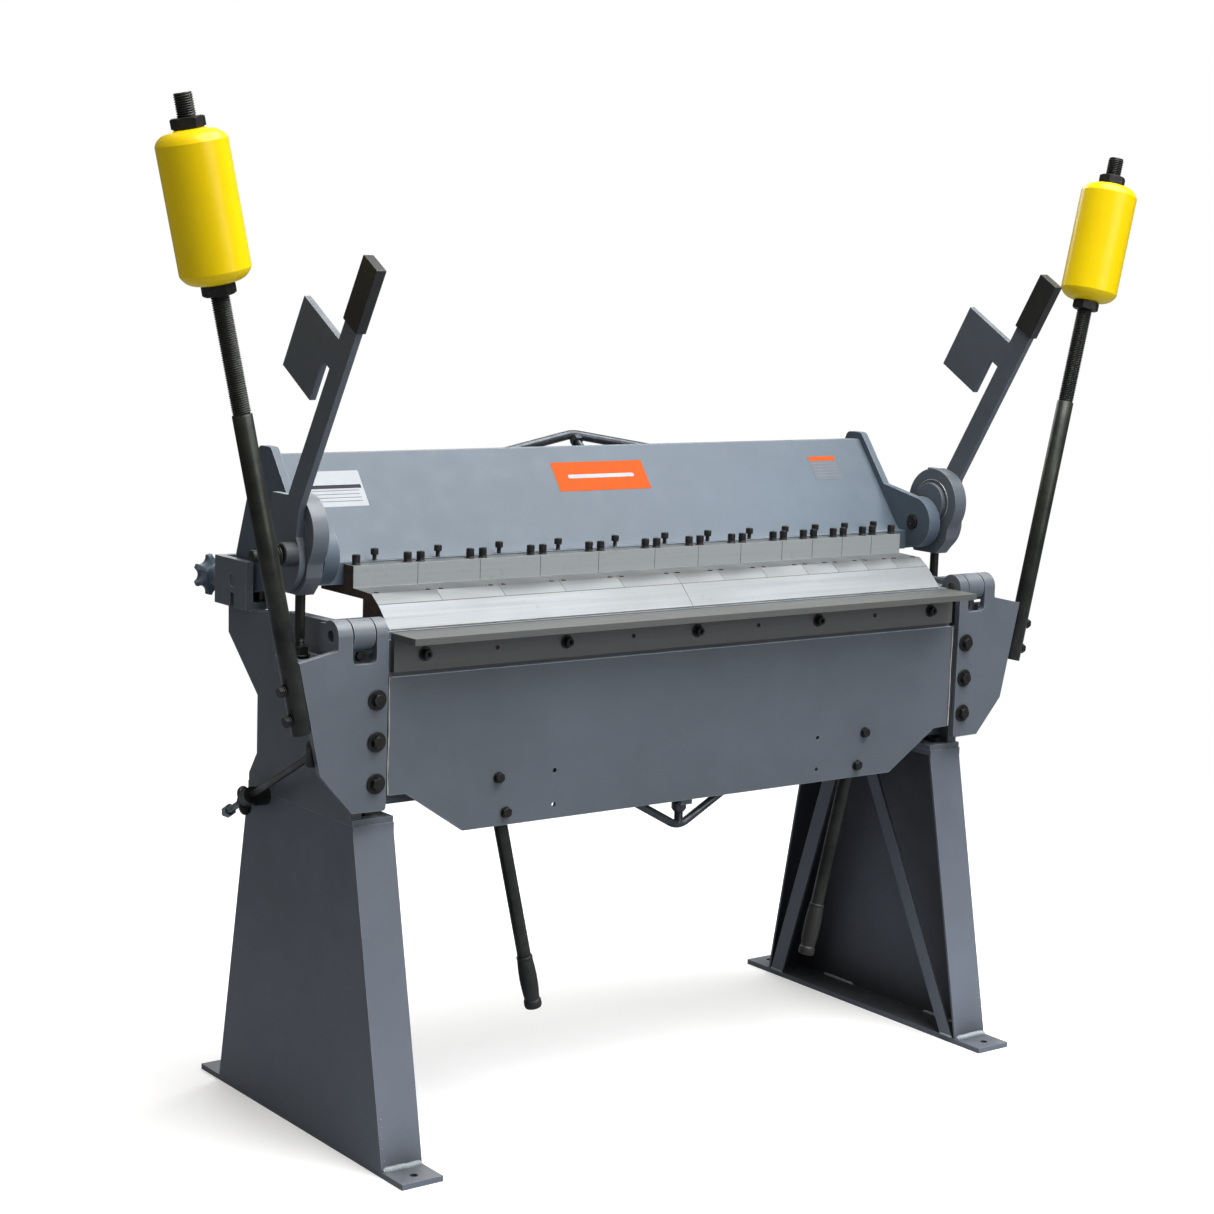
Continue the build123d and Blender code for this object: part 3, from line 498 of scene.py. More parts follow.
def rounded_path(corners, radius, steps=8):
    """Polyline with its inner corners rounded."""
    corners = [Vector(c) for c in corners]
    path = [corners[0]]
    for before, corner, after in zip(corners, corners[1:], corners[2:]):
        a = corner + (before - corner).normalized() * radius
        b = corner + (after - corner).normalized() * radius
        for k in range(steps + 1):
            t = k / steps
            path.append(a * (1 - t) ** 2 + corner * (2 * t * (1 - t)) + b * t ** 2)
    path.append(corners[-1])
    return path


def prism(outline, depth):
    """Straight-sided plate: outline in local X and Y, thickness along Z."""
    n = len(outline)
    verts = [(x, y, 0) for x, y in outline] + [(x, y, depth) for x, y in outline]
    faces = [tuple(reversed(range(n))), tuple(range(n, 2 * n))]
    faces += [(i, (i + 1) % n, n + (i + 1) % n, n + i) for i in range(n)]
    return verts, faces


def plate_with_bore(outline, bore, depth, steps=120):
    """Plate whose outline is seen whole from the bore's centre: outline and bore in local X and Y."""
    corners = [math.atan2(y, x) % TAU for x, y in outline]
    angles = sorted({round(a, 6) for a in corners + [TAU * i / steps for i in range(steps)]})

    def reach(angle):
        d = Vector((math.cos(angle), math.sin(angle)))
        best = 0.0
        for (x1, y1), (x2, y2) in zip(outline, outline[1:] + outline[:1]):
            ex, ey = x2 - x1, y2 - y1
            cross = d.x * ey - d.y * ex
            if abs(cross) < 1e-9:
                continue
            t = (x1 * ey - y1 * ex) / cross
            u = (x1 * d.y - y1 * d.x) / cross
            if t > 0 and -1e-6 <= u <= 1 + 1e-6:
                best = max(best, t)
        return best

    verts = []
    n = len(angles)
    for a in angles:
        c, s = math.cos(a), math.sin(a)
        near = bore * c, bore * s
        far = reach(a) * c, reach(a) * s
        verts += [(*near, 0), (*far, 0), (*far, depth), (*near, depth)]
    faces = []
    for i in range(n):
        a, b = 4 * i, 4 * ((i + 1) % n)
        for k in range(4):
            m = (k + 1) % 4
            faces.append((a + k, b + k, b + m, a + m))
    return verts, faces


def weld_bead(start, end, width, ripple=4.0, seed=0):
    """Bead laid in a corner: overlapping ripples with slightly uneven edges."""
    start, end = Vector(start), Vector(end)
    length = (end - start).length
    steps = max(12, int(length / ripple * 4))
    points = []
    for k in range(steps + 1):
        t = k / steps
        p = start.lerp(end, t)
        wander = Vector(noise.noise_vector(p * 0.06 + Vector((seed, 0, 0)))) * (width * 0.16)
        points.append(p + wander)

    def radius(t):
        wave = abs(math.sin(math.pi * t * length / ripple))
        taper = min(1.0, 0.55 + 6 * min(t, 1 - t))
        return width * (0.80 + 0.20 * wave) * taper
    return tube(points, radius, 12)


def arc_points(centre, radius, start, end, steps):
    return [
        (centre[0] + radius * math.cos(a), centre[1] + radius * math.sin(a))
        for a in (math.radians(start + (end - start) * k / steps) for k in range(steps + 1))
    ]


def circle_across(x, centre_y, centre_z, radius, steps):
    """Closed ring of points in a plane of constant X."""
    return [
        (x, centre_y + radius * math.cos(TAU * k / steps), centre_z + radius * math.sin(TAU * k / steps))
        for k in range(steps + 1)
    ]


SIDES = (("left", -1), ("right", 1))

# ---------------------------------------------------------------- carried-over CAD nodes
FINGERS = [f"finger_{i:02d}" for i in range(1, 13)]
CAD_LOOKS = [
    (PAINT_STAND, 1.0, ["stand_left", "stand_right"]),
    (PAINT, 0.9, ["side_frame_left", "side_frame_right", "bed_beam"]),
    (PAINT, 0.9, ["clamp_handle_left", "clamp_handle_right"]),
    (PAINT, 0.9, ["leaf_backing", "hinge_plate_left", "hinge_plate_right"]),
    (PAINT, 1.6, ["apron_plate"]),
    (PAINT_BEAM, 0.9, ["upper_beam", "end_plate_left", "end_plate_right"]),
    (STEEL, 0.35, FINGERS + ["nose_bar_left", "nose_bar_right"]),
    (STEEL_ANGLE, 0.6, ["bending_angle"]),
    (STEEL_PIN, 0.5, ["hinge_pins", "pivot_pins", "pivot_blocks"]),
    (BAR, 0.6, ["stop_swivel"]),
    (RUBBER, 1.6, ["handle_grip_left", "handle_grip_right"]),
]


def dress_cad(name, material, width):
    """Material, merged seams and rounded edges on a carried-over node."""
    node = NODES[name]
    node.data.materials.clear()
    node.data.materials.append(material)
    if "custom_normal" in node.data.attributes:
        node.data.attributes.remove(node.data.attributes["custom_normal"])
    node.data.polygons.foreach_set("use_smooth", [True] * len(node.data.polygons))
    weld = node.modifiers.new("weld", "WELD")
    weld.merge_threshold = 2e-5
    flat = node.modifiers.new("flat", "DECIMATE")
    flat.decimate_type = "DISSOLVE"
    flat.angle_limit = math.radians(0.4)
    add_bevel(node, width)


for material, width, names in CAD_LOOKS:
    for name in names:
        dress_cad(name, material, width)

# ---------------------------------------------------------------- counterweights
LEAN = math.radians(12.4)
ROD_FOOT = Vector((768.4 + 71 * math.tan(LEAN) + 16.2 / math.cos(LEAN), -194, 731))
ROD_R, CREST_R, ROOT_R = 16, 14.92, 13.1
THREAD_START, ROD_LENGTH = 520, 1007.5
WEIGHT_START, WEIGHT_LENGTH, WEIGHT_R = 722, 232, 55
NUT_ACROSS, NUT_T = 46, 18


def rod_frame(side):
    foot = Vector((side * ROD_FOOT.x, ROD_FOOT.y, ROD_FOOT.z))
    return frame_at(foot, (side * math.sin(LEAN), 0, math.cos(LEAN)), (0, 1, 0))


def weight_profile():
    """Turned weight: straight barrel, crisp shoulder lines, domed ends, bore."""
    bore = CREST_R + 0.12
    inner, second, first, shoulder = (Vector(p) for p in ((25, 0.0), (42, 0.4), (50.5, 8.5), (WEIGHT_R, 19)))
    dome = []
    for k in range(15):
        t = k / 14
        dome.append(tuple(
            inner * (1 - t) ** 3 + second * (3 * t * (1 - t) ** 2)
            + first * (3 * t ** 2 * (1 - t)) + shoulder * t ** 3
        ))
    low = [(bore, 0.0), (22, 0.0)] + dome
    high = [(r, WEIGHT_LENGTH - z) for r, z in reversed(low)]
    return low + high


for side_name, side in SIDES:
    place = rod_frame(side)
    rod = Shape()
    rod.add(lathe([
        (0, 0), (ROD_R - 1, 0), (ROD_R, 1), (ROD_R, THREAD_START - 1.5),
        (ROD_R - 1.5, THREAD_START), (ROOT_R, THREAD_START + 0.5), (0, THREAD_START + 0.5),
    ], 56), place)
    rod.add(thread(ROOT_R, CREST_R, THREAD_START, ROD_LENGTH, 3.5, 32), place)
    make(rod, f"counterweight_rod_{side_name}", BAR, "leaf", ["counterweight_rods"], sharp=50)
    weight = Shape().add(lathe(
        [(r, z + WEIGHT_START) for r, z in weight_profile()], 96, closed=True), place)
    make(weight, f"weight_body_{side_name}", YELLOW, f"weight_{side_name}",
         [f"counterweight_{side_name}"], sharp=14)
    nuts = Shape()
    for level in (WEIGHT_START - NUT_T, WEIGHT_START + WEIGHT_LENGTH):
        nuts.add(hex_part(NUT_ACROSS, NUT_T, CREST_R + 0.1, both=True), raised(place, level))
    make(nuts, f"weight_nut_pair_{side_name}", OXIDE, f"weight_{side_name}",
         [f"weight_nuts_{side_name}"], bevel=0.5)


# ---------------------------------------------------------------- fasteners
def hex_bolt(origin, axis, across, head, washer_r, washer_t, bore, turn=0.0):
    """Hexagon bolt with washers, standing on a face at origin."""
    bolt = Shape()
    place = frame_at(origin, axis) @ Matrix.Rotation(turn, 4, "Z")
    level = 0.0
    if washer_r:
        bolt.add(washer(washer_r, washer_t, bore), place)
        level = washer_t
    bolt.add(hex_part(across, head, 0, both=True), raised(place, level))
    bolt.add(lathe([(0, -2), (bore, -2), (bore, level + 0.5), (0, level + 0.5)], 24), place)
    return bolt


def merge(shapes):
    whole = Shape()
    for s in shapes:
        whole.add((s.verts, s.faces))
    return whole


plate_bolts = [
    hex_bolt((side * 664.7, -200, z), FORWARD, 19, 8, 17, 3, 6, 0.3 + 0.7 * k * side)
    for side in (-1, 1) for k, z in enumerate((637, 706, 775))
]
make(merge(plate_bolts), "hinge_plate_bolts", OXIDE, "leaf", ["plate_bolts"], bevel=0.3)

pull_bolts = [
    hex_bolt((side * x, -191, z), FORWARD, 16, 7, 10, 2, 5, 0.5 * side + k)
    for side in (-1, 1) for k, (x, z) in enumerate(((417.5, 620), (401.2, 558.5)))
]
make(merge(pull_bolts), "pull_handle_bolts", OXIDE, "leaf", ["pull_bolts"], bevel=0.3)

rod_bolts = []
for side in (-1, 1):
    place = rod_frame(side)
    outward = Vector((side * math.cos(LEAN), 0, -math.sin(LEAN)))
    for k, step in enumerate((26, 76)):
        foot = place @ Vector((0, 0, step)) + outward * ROD_R
        rod_bolts.append(hex_bolt(foot - outward * 0.6, outward, 17, 8.4, 10, 2.2, 5, 0.4 + k))
make(merge(rod_bolts), "counterweight_rod_bolts", OXIDE, "leaf", ["rod_bolts"], bevel=0.3)

frame_bolts = []
for side in (-1, 1):
    for k, y in enumerate((-145, 10, 155)):
        frame_bolts.append(hex_bolt((side * 650, y, 572), UP, 19, 8, 0, 0, 6, k))
    frame_bolts.append(hex_bolt((side * 684, -174, 844.8), FORWARD, 15, 7, 0, 0, 5))
make(merge(frame_bolts), "stand_bolts", OXIDE, "frame", ["frame_bolts"], bevel=0.3)

# Finger screws: a pair on each finger and a taller clamping screw between them on the beam.
INCH = 25.4
FINGER_INCHES = (5, 5, 5, 5, 5, 4, 4, 4, 3, 3, 3, 3)
FINGER_TOP, BAR_TOP, REAR_SCREW_Y = 972, 974, -10.5
screws = Shape()
left = -sum(FINGER_INCHES) * INCH / 2
for k, inches in enumerate(FINGER_INCHES):
    width = inches * INCH
    centre = left + width / 2
    left += width
    for x in (centre - width / 2 + 13, centre + width / 2 - 13):
        spot = frame_at((x, -35, FINGER_TOP), UP) @ Matrix.Rotation(k + x, 4, "Z")
        screws.add(washer(8, 2, 4), spot)
        screws.add(washer(6.7, 2.5, 4), raised(spot, 2))
        screws.add(cap_head(7.0, 12.5, 6), raised(spot, 4.5))
    spot = frame_at((centre, REAR_SCREW_Y, BAR_TOP), UP) @ Matrix.Rotation(k * 1.3, 4, "Z")
    screws.add(thread(3.3, 4.0, -1, 10.5, 1.25, 18, 6), spot)
    screws.add(cap_head(6.8, 10.5, 6), raised(spot, 10))
make(screws, "finger_screws", OXIDE, "beam", ["clamp_screws"], sharp=28)

angle_screws = Shape()
for k in range(-2, 3):
    spot = frame_at((k * 285.6, -194, 843), FORWARD) @ Matrix.Rotation(0.4 * k, 4, "Z")
    angle_screws.add(washer(12, 2, 5), spot)
    angle_screws.add(cap_head(8, 10, 8), raised(spot, 2))
for x in (-427.7, -142.1, 142.1, 427.7):
    spot = frame_at((x, -195, 843), FORWARD)
    angle_screws.add(lathe([
        (0, -3), (4, -3), (4, -0.5), (3.5, 0), (2.6, 0),
        (hex_radius(4), -0.3), (hex_radius(4), -2.2), (0, -2.6),
    ], 36), spot)
make(angle_screws, "bending_angle_screws", OXIDE, "leaf", ["angle_screws"], sharp=28)


# ---------------------------------------------------------------- setback knobs
SPINDLE_X, SPINDLE_Z = 675.5, 912


def lobed(inner, outer, lobes, sharpness=1.6):
    """Radius of a winged nut: round lobes between soft valleys."""
    def radius(angle):
        wave = 0.5 + 0.5 * math.cos(lobes * angle)
        return inner + (outer - inner) * wave ** (1 / sharpness)
    return radius


def scooped(outer, lobes, reach, scoop):
    """Radius of a star grip: a disc with round scoops cut into its rim."""
    pitch = TAU / lobes

    def radius(angle):
        off = abs((angle % pitch) - pitch / 2)
        left_over = scoop ** 2 - (reach * math.sin(off)) ** 2
        if left_over <= 0:
            return outer
        return min(outer, reach * math.cos(off) - math.sqrt(left_over))
    return radius


def scaled(radius, share):
    def smaller(angle):
        return radius(angle) * share
    return smaller


star = scooped(37.2, 7, 41.5, 13.6)
for side_name, side in SIDES:
    place = frame_at((side * SPINDLE_X, 0, SPINDLE_Z), (0, 1, 0), RIGHTWARD)
    knob = Shape()
    knob.add(lathe([
        (0, 304), (18.5, 304), (20, 305.5), (20, 322), (17.5, 326), (16.5, 331), (18, 336),
        (scaled(star, 0.80), 338.4), (scaled(star, 0.93), 338.9), (scaled(star, 0.98), 340.1),
        (star, 342), (star, 349.5),
        (scaled(star, 0.98), 351.6), (scaled(star, 0.94), 352.7), (scaled(star, 0.80), 353.3),
        (18, 353.4), (16, 354), (11, 354), (10, 352.6), (0, 352.2),
    ], 168), place)
    make(knob, f"star_knob_{side_name}", PAINT_BEAM, f"knob_{side_name}",
         [f"setback_knob_{side_name}"], sharp=40)
    spindle = Shape().add(thread(6.9, 7.95, 247.6, 304.5, 2, 24), place)
    spindle.add(lathe([(0, 343), (6, 343), (6, 353.4), (5.2, 354), (0, 354)], 24), place)
    make(spindle, f"knob_spindle_{side_name}", OXIDE, f"knob_{side_name}", sharp=50)

# ---------------------------------------------------------------- clamp gear
CRANK_Y, CRANK_Z = -32, 992
RING = (-46, 1032)
RING_IN, RING_OUT = 706, 736
LINK_X = 721


def ring_shape():
    """Ring outline about its bore, in (y, z): round head with a squared foot."""
    head = arc_points((0, 0), 66, -36, 219, 70)
    foot = [(-48, -47), (-44, -70), (-38, -80), (-18, -101), (44, -101), (54, -90)]
    return head + foot


for side_name, side in SIDES:
    # Local X is +Y, local Y is +Z, local Z is +X.
    base = frame_at((min(side * RING_IN, side * RING_OUT), RING[0], RING[1]), RIGHTWARD, (0, 1, 0))
    ring = Shape().add(plate_with_bore(ring_shape(), 44.05, RING_OUT - RING_IN), base)
    make(ring, f"eccentric_ring_{side_name}", PAINT, f"link_{side_name}",
         [f"clamp_ring_{side_name}"], bevel=1.2)
    spot = Matrix.Translation((side * LINK_X, RING[0], 0))
    link = Shape()
    link.add(thread(7.2, 8.2, 772, 858, 2.5, 28), spot)
    link.add(lathe([(0, 858), (7.6, 858), (8.5, 859.5), (8.5, 932), (0, 932)], 40), spot)
    for level, height in ((778, 14), (831, 15)):
        link.add(hex_part(28, height, 7.3, both=True), raised(spot, level))
    for level in (792, 828):
        link.add(washer(17.5, 3, 7.3), raised(spot, level))
    make(link, f"link_bar_{side_name}", BAR, f"link_{side_name}", [f"link_rod_{side_name}"],
         bevel=0.3)

LOCK = Vector((0, -70, 1001))
place = frame_at(LOCK, (-1, 0, 0), UP)
boss = Shape().add(lathe([
    (0, 748.7), (19.4, 748.7), (20, 749.3), (20, 771), (18.6, 772.6), (0, 772.6),
], 48), place)
make(boss, "lock_pin_boss", BOSS, "handle_left", sharp=40)
pin = Shape()
pin.add(thread(6.1, 7.0, 771, 802, 1.75, 24), place)
pin.add(washer(18.5, 6, 6.2), raised(place, 798))
pin.add(hex_part(30, 10, 6.2, both=True), raised(place, 804))
pin.add(lathe([(0, 813), (9.5, 813), (10, 813.6), (10, 825), (8.6, 826.6), (0, 827)], 32), place)
COIL_R, COIL_TURNS, COIL_STEPS, COIL_START, COIL_LENGTH = 14.6, 5, 180, 775.2, 20.6
coil = [
    Vector((COIL_R * math.cos(TAU * COIL_TURNS * t), COIL_R * math.sin(TAU * COIL_TURNS * t),
            COIL_START + COIL_LENGTH * t))
    for t in (k / COIL_STEPS for k in range(COIL_STEPS + 1))
]
pin.add(tube(coil, 1.7, 10), place)
make(pin, "lock_pin_assembly", BAR, "handle_left", ["lock_pin_left"], bevel=0.4)

# ---------------------------------------------------------------- truss rods
beam_truss = Shape()
beam_truss.add(tube(rounded_path([
    (-350, 149, 1100), (-330, 162, 1104), (0, 204, 1160), (330, 162, 1104), (350, 149, 1100),
], 14), 9, 24))
for side in (-1, 1):
    beam_truss.add(lathe([(0, 0), (17, 0), (17, 6), (15.5, 8), (0, 8)], 40),
                   frame_at((side * 340, 152, 1100), (0, 1, 0)))
strut = Vector((0, 60, 44)).normalized()
post = frame_at(Vector((5, 204, 1156)) - strut * 62, strut)
beam_truss.add(lathe([(0, 0), (7, 0), (7, 60), (0, 60)], 32), post)
beam_truss.add(hex_part(22, 12, 7, both=True), raised(post, 44))
make(beam_truss, "beam_truss_rod", TRUSS, "beam", ["beam_truss"], bevel=0.5)

leaf_truss = Shape()
leaf_truss.add(tube(rounded_path([
    (-268, -176, 600), (-250, -162, 617), (0, -160, 480), (250, -162, 617), (268, -176, 600),
], 22, 16), 7.5, 24))
for side in (-1, 1):
    leaf_truss.add(prism([(-18, -42), (18, -42), (18, 42), (-18, 42)], 14),
                   frame_at((side * 250.5, -169, 590), FORWARD, RIGHTWARD))
post = frame_at((0, -160, 484), UP)
leaf_truss.add(thread(7.4, 8.2, 3, 72, 2, 24), post)
leaf_truss.add(lathe([(0, 25), (10, 25), (13.5, 30), (13.5, 41), (12, 42.5), (0, 42.5)], 32), post)
make(leaf_truss, "leaf_truss_rod", TRUSS, "leaf", ["leaf_truss"], bevel=0.5)

# ---------------------------------------------------------------- pull handles
PULL_LEAN, PULL_TOP = math.radians(13.5), 650
for side_name, side in SIDES:
    top = Vector((side * (409.4 + (PULL_TOP - 589.4) * math.tan(PULL_LEAN)), -169, PULL_TOP))
    axis = Vector((-side * math.sin(PULL_LEAN), 0, -math.cos(PULL_LEAN)))
    place = frame_at(top, axis, (0, 1, 0))
    length = (PULL_TOP - 197) / math.cos(PULL_LEAN)
    bar = Shape().add(lathe([
        (0, 0), (10.5, 0), (12, 1.5), (12, length - 8), (11, length - 6), (0, length - 6),
    ], 40), place)
    make(bar, f"pull_bar_{side_name}", BAR, "leaf", ["pull_handles"], sharp=40)
    start = length - 98
    grip = [(12.05, start), (13.2, start), (14.2, start + 1.2), (14.2, start + 5)]
    for k in range(17):
        t = k / 16
        grip.append((13.4 + 2.2 * math.sin(math.pi * min(1.0, t * 1.02)) ** 0.8, start + 6 + 74 * t))
    grip += [
        (13.2, start + 82), (14.9, start + 84), (15.4, start + 87), (15.4, start + 94),
        (14.2, start + 97.4), (11, start + 98.3), (0, start + 98.4),
    ]
    sleeve = Shape().add(lathe(grip, 60), place)
    make(sleeve, f"pull_sleeve_{side_name}", RUBBER, "leaf", ["pull_grips"], sharp=40)

# ---------------------------------------------------------------- rest stop on the left
SWIVEL = Vector((-722, 116, 558))
PAD = Vector((-768, -175, 690))
STOP_AXIS = (SWIVEL - PAD).normalized()
span = (SWIVEL - PAD).length
place = frame_at(PAD, STOP_AXIS, UP)
bar = Shape().add(lathe([(0, -6), (5.9, -6), (5.9, span + 36), (5.4, span + 37), (0, span + 37)], 36), place)
make(bar, "stop_bar", BAR, "stop_rod", ["stop_rod"], sharp=40)
pad_outline = [(-12, -18), (12, -18)] + arc_points((0, 14), 12, 0, 180, 18)
pad = Shape().add(prism(pad_outline, 14), frame_at((PAD.x, -173.5, PAD.z), FORWARD, RIGHTWARD))
make(pad, "stop_pad", BAR, "stop_rod", bevel=1.2)
tail = Shape().add(thread(5.1, 5.95, span + 36, span + 142, 1.75, 24), place)
tail.add(hex_part(20, 18, 5.2, both=True), raised(place, span + 108))
make(tail, "stop_tail", ZINC, "stop_rod", bevel=0.3)

hub = frame_at(SWIVEL + STOP_AXIS * 22, STOP_AXIS, UP)
wing = lobed(11, 25.5, 2, 0.55)
lever = Shape().add(lathe([
    (6.05, 0), (11, 0), (12, 1.2), (12, 3), (scaled(wing, 0.94), 4), (wing, 5.4), (wing, 10.6),
    (scaled(wing, 0.94), 12), (11.5, 13), (11, 15.6), (10, 16), (6.05, 16),
], 96, closed=True), hub)
make(lever, "stop_wing_nut", BAR, "stop_lever", ["stop_lever"], sharp=50)

# ---------------------------------------------------------------- welds
welds = Shape()
for side in (-1, 1):
    seams = [
        ((side * 614, -285, 11.5), (side * 688, -285, 11.5), 6.2),
        ((side * 614, 277, 11), (side * 688, 277, 11), 5.5),
        ((side * 684.6, -200, 11), (side * 684.6, -120, 11), 3.4),
        ((side * 684.6, 90, 11), (side * 684.6, 180, 11), 3.4),
        ((side * 612, -272, 11), (side * 612, -240, 11), 3.0),
        ((side * 612, 232, 11), (side * 612, 268, 11), 3.0),
        ((side * 690.5, -82, 799.6), (side * 690.5, -10, 799.6), 3.0),
        ((side * 690.5, -82, 826.4), (side * 690.5, -10, 826.4), 3.0),
        ((side * 690.4, 172, 871.6), (side * 690.4, 206, 871.6), 2.6),
        ((side * 667.6, -120, 573), (side * 667.6, -40, 573), 3.4),
        ((side * 667.6, 60, 573), (side * 667.6, 140, 573), 3.4),
    ]
    for k, (start, end, width) in enumerate(seams):
        welds.add(weld_bead(start, end, width, seed=k + 3 * side))
# Spatter up the outer edge of the front flange.
for k in range(12):
    side = -1 if k % 2 else 1
    shake = noise.noise_vector(Vector((k * 3.7, 1.3, 0.4)))
    height = 26 + 17 * (k // 2) + 12 * shake.z
    lean = (545 - height) / 535
    size = 0.8 + abs(shake.x)
    blob = [(0, -size), (size * 0.8, -size * 0.6), (size, 0), (size * 0.7, size * 0.6), (0, size * 0.8)]
    welds.add(lathe(blob, 10),
              Matrix.Translation((side * (686 - 9 * abs(shake.y)), -175.2 - 108 * lean, height)))
make(welds, "frame_welds", WELD, "frame", sharp=60)

for side_name, side in SIDES:
    web_ring = circle_across(side * 697, CRANK_Y, CRANK_Z, 26.5, 60)
    bead = Shape().add(tube(web_ring, lambda t: 1.5 + 0.4 * abs(math.sin(t * 60)), 10))
    make(bead, f"crank_weld_{side_name}", WELD, f"handle_{side_name}", sharp=60)

for side_name, side in SIDES:
    shaft_end = Shape().add(
        lathe([(0, -1), (13.2, -1), (13.2, 1.4), (12.2, 2.4), (4, 2.8), (3, 1.6), (0, 1.4)], 48),
        frame_at((side * 668, CRANK_Y, CRANK_Z), (-side, 0, 0)))
    make(shaft_end, f"crank_shaft_end_{side_name}", OXIDE, f"handle_{side_name}", sharp=30)

# Filler between the apron and the hinge plates, left pale where the enamel stops short.
fillers = Shape()
for side in (-1, 1):
    path = [(side * (636.6 + 0.5 * math.sin(z * 0.05)), -191.6, z) for z in range(613, 813, 4)]
    fillers.add(tube(path, lambda t: 1.25 + 0.2 * math.sin(t * 31), 10))
make(fillers, "apron_fillers", FILLER, "leaf", sharp=60)
# Painted highlight: a pale strip along the apron's top edge stands for the light that edge catches.
apron_edge_highlight = Shape().add(tube([(x, -191.1, 808.2) for x in range(-632, 633, 8)], 0.9, 10))
make(apron_edge_highlight, "apron_top_bead", WELD, "leaf", sharp=60)

# Oil-darkened seam where the fingers meet the nose bars, and the browned tip of the nose.
for name, y, z in (("finger_seam", -128.0, 917.7), ("nose_tip", -164.5, 881.3)):
    line = Shape().add(tube([(x, y, z) for x in range(-620, 621, 10)], 0.6, 8))
    make(line, f"{name}_line", BROWNED, "beam", sharp=60)

# Polished rim of each crank journal where it runs in the eccentric ring.
for side_name, side in SIDES:
    rim = circle_across(side * 705.6, *RING, 44.4, 96)
    make(Shape().add(tube(rim, 0.9, 10)), f"journal_rim_{side_name}", STEEL_BRIGHT, f"handle_{side_name}",
         sharp=60)

# ---------------------------------------------------------------- labels without lettering
SLOPE_FOOT = Vector((0, 16, 987))
SLOPE = Vector((0, 124, 165.7)).normalized()
SLOPE_OUT = Vector((0, -SLOPE.z, SLOPE.y))


def label(name, material, left, right, low, high, lift, corner=2.0):
    """Thin film on the beam's sloping face; low and high are measured up the slope."""
    outline = []
    for (x, y), start in (((right - corner, high - corner), 0), ((left + corner, high - corner), 90),
                          ((left + corner, low + corner), 180), ((right - corner, low + corner), 270)):
        outline += arc_points((x, y), corner, start, start + 90, 4)
    place = frame_at(SLOPE_FOOT + SLOPE_OUT * lift, SLOPE_OUT, RIGHTWARD)
    make(Shape().add(prism(outline, 0.25), place), name, material, "beam")


label("plate_white", LABEL_WHITE, -638, -522, 88, 159, 0.0)
label("plate_white_stripe", LABEL_DARK, -634, -526, 124, 131, 0.2, 0.5)
for k in range(4):
    label(f"plate_white_rule_{k}", LABEL_GREY, -630, -532, 119 - 7 * k, 120.4 - 7 * k, 0.2, 0.3)
label("plate_orange", LABEL_ORANGE, -113, 96, 100, 162, 0.0)
label("plate_orange_bar", LABEL_WHITE, -84, 67, 127, 135, 0.2, 3.5)
label("plate_small", LABEL_SLATE, 509, 581, 104, 159, 0.0)
for k in range(5):
    label(f"plate_small_rule_{k}", LABEL_GREY, 514, 576 - 9 * (k % 2), 140 - 7 * k, 141.2 - 7 * k, 0.2, 0.4)
label("plate_small_head", LABEL_ORANGE, 511, 579, 147, 157, 0.2, 1)

# ---------------------------------------------------------------- floor, light and camera
YAW, PITCH, ROLL = (math.radians(a) for a in (36.989, 8.315, 1.884))
CAMERA_PLACE = (-2.7087, -3.5215, 1.5063)
SENSOR_WIDTH, LENS = 36, 72.56

# In metres: a sheet that reaches far behind the object, square to the camera.
floor_mesh = bpy.data.meshes.new("floor")
corners = [Vector((x, y, 0)) for x, y in ((-40, -20), (40, -20), (40, 60), (-40, 60))]
turn = Matrix.Rotation(-YAW, 4, "Z")
floor_mesh.from_pydata([turn @ corner for corner in corners], [], [(0, 1, 2, 3)])
floor_mesh.polygons.foreach_set("use_smooth", [True])
floor = bpy.data.objects.new("floor", floor_mesh)
bpy.context.scene.collection.objects.link(floor)
# The camera sees a white floor that fades into the white room; the object gets a dimmer bounce.
g = Graph("studio_floor")
soft = g.noise(1.5, 3)
g.bump((g.noise(60, 3), 0.02, 0.002))
seen = g.node("ShaderNodeLightPath").outputs["Is Camera Ray"]
distance = g.node("ShaderNodeVectorMath", operation="LENGTH")
g.link(g.place, distance.inputs[0])
far = g.span(distance.outputs["Value"], 1.3, 3.2)
near_pale = g.mix(g.span(soft, 0.3, 0.7), (0.80, 0.80, 0.80), (0.83, 0.83, 0.83))
pale = g.mix(far, near_pale, (0, 0, 0))
floor_mesh.materials.append(g.set(
    Base_Color=g.mix(seen, (0.24, 0.25, 0.28), pale), Roughness=0.9, Specular_IOR_Level=0.0,
    Emission_Color=(1, 1, 1), Emission_Strength=g.math("MULTIPLY", seen, g.span(far, 0, 1, 0.34, 1.0))))

scene = bpy.context.scene
world = bpy.data.worlds.new("studio")
world.use_nodes = True
world_nodes = world.node_tree.nodes
world_links = world.node_tree.links


def world_span(value, low, high, to_low, to_high):
    """Map Range node in the world's tree."""
    made = world_nodes.new("ShaderNodeMapRange")
    for key, number in (("From Min", low), ("From Max", high), ("To Min", to_low), ("To Max", to_high)):
        made.inputs[key].default_value = number
    world_links.new(value, made.inputs["Value"])
    return made.outputs["Result"]


def world_mix(share, a, b, kind):
    """Mix node in the world's tree; a may be a socket or a value."""
    made = world_nodes.new("ShaderNodeMix")
    made.data_type = kind
    world_links.new(share, made.inputs["Factor"])
    if isinstance(a, bpy.types.NodeSocket):
        world_links.new(a, made.inputs["A"])
    else:
        made.inputs["A"].default_value = a
    made.inputs["B"].default_value = b
    return made.outputs["Result"]


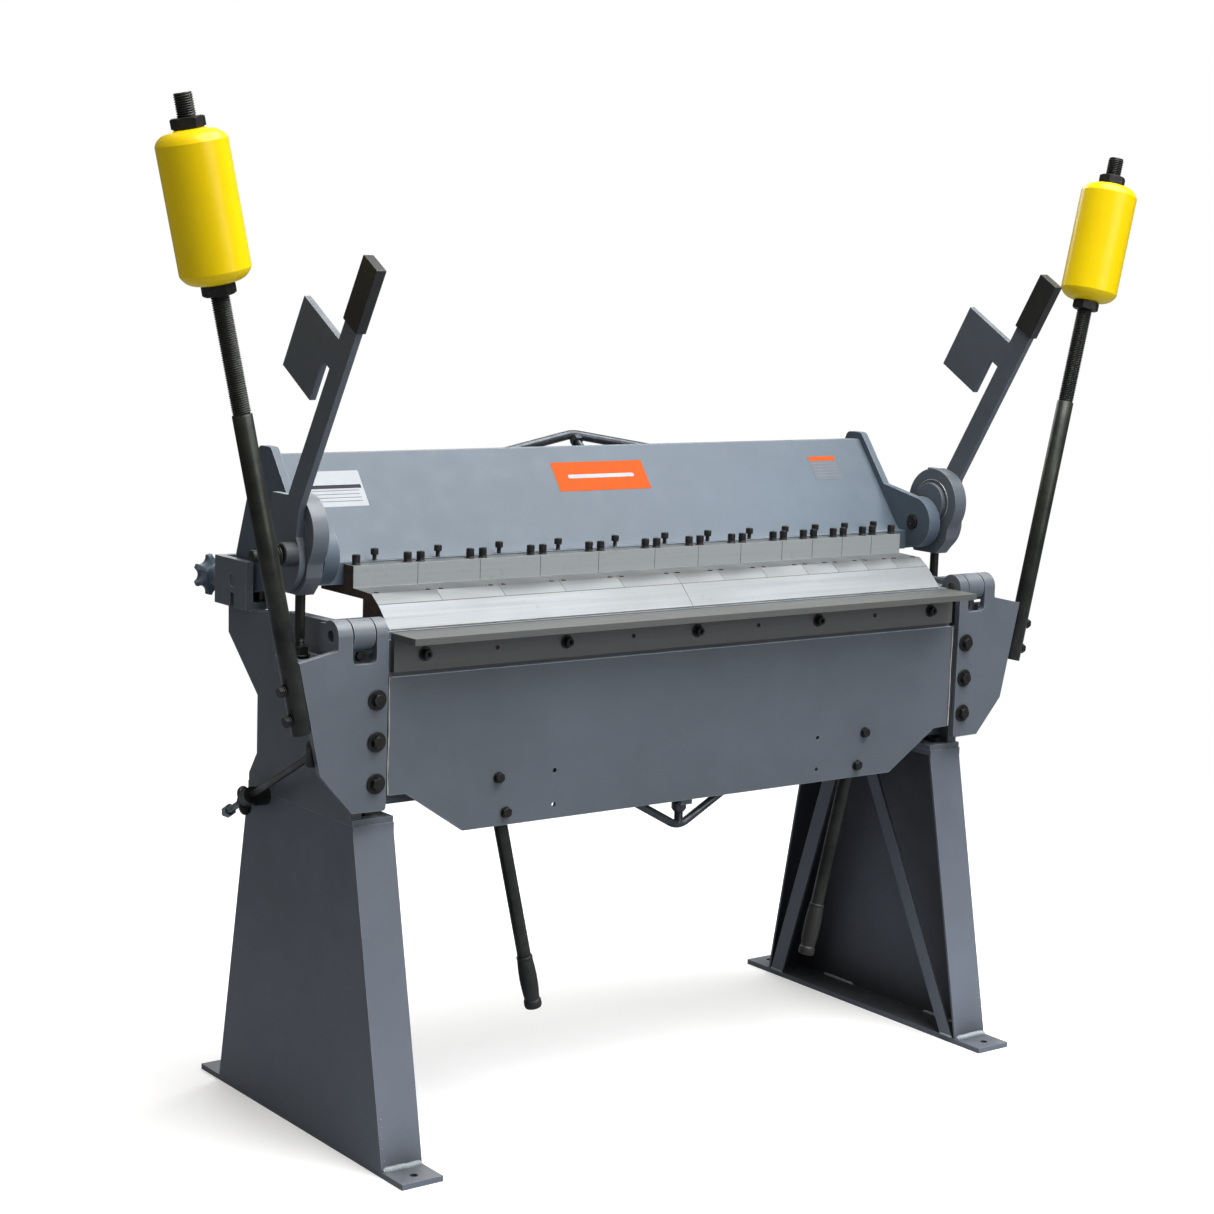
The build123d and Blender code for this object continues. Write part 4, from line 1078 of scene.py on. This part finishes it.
# The camera sees a white room; the object is lit by a dimmer one, a little warmer on the left.
WHITE, WARM = (1, 1, 1, 1), (1.0, 0.93, 0.80, 1)
to_camera = world_nodes.new("ShaderNodeLightPath").outputs["Is Camera Ray"]
direction = world_nodes.new("ShaderNodeSeparateXYZ")
world_links.new(world_nodes.new("ShaderNodeTexCoord").outputs["Generated"], direction.inputs[0])
sky = world_span(direction.outputs["Z"], -0.1, 0.9, 0.04, 0.42)
leftness = world_span(direction.outputs["X"], -0.7, 0.1, 1.0, 0.0)
background = world_nodes["Background"]
world_links.new(world_mix(to_camera, sky, 1.0, "FLOAT"), background.inputs["Strength"])
tint = world_mix(leftness, WHITE, WARM, "RGBA")
world_links.new(world_mix(to_camera, tint, WHITE, "RGBA"), background.inputs["Color"])
scene.world = world


def area_light(name, location, target, size, power):
    data = bpy.data.lights.new(name, "AREA")
    data.shape = "RECTANGLE"
    data.size, data.size_y = size
    data.energy = power
    light = bpy.data.objects.new(name, data)
    light.location = location
    light.rotation_euler = (Vector(target) - Vector(location)).to_track_quat("-Z", "Y").to_euler()
    scene.collection.objects.link(light)


AIM = (0.1, 0, 0.8)
area_light("overhead", (0.95, -1.4, 4.8), AIM, (5.0, 3.6), 430)
area_light("front", (1.5, -6.0, 2.8), AIM, (4.0, 3.0), 110)
area_light("rear", (1.6, 4.2, 3.2), AIM, (3.0, 2.0), 70)

ahead = Vector((math.sin(YAW) * math.cos(PITCH), math.cos(YAW) * math.cos(PITCH), -math.sin(PITCH)))
level = Vector((math.cos(YAW), -math.sin(YAW), 0))
above = level.cross(ahead)
camera_x = level * math.cos(ROLL) + above * math.sin(ROLL)
camera_y = above * math.cos(ROLL) - level * math.sin(ROLL)
camera_data = bpy.data.cameras.new("camera")
camera_data.sensor_width = SENSOR_WIDTH
camera_data.lens = LENS
camera = bpy.data.objects.new("camera", camera_data)
matrix = Matrix((camera_x, camera_y, -ahead)).transposed().to_4x4()
matrix.translation = CAMERA_PLACE
camera.matrix_world = matrix
scene.collection.objects.link(camera)
scene.camera = camera
scene.view_settings.view_transform = "Standard"
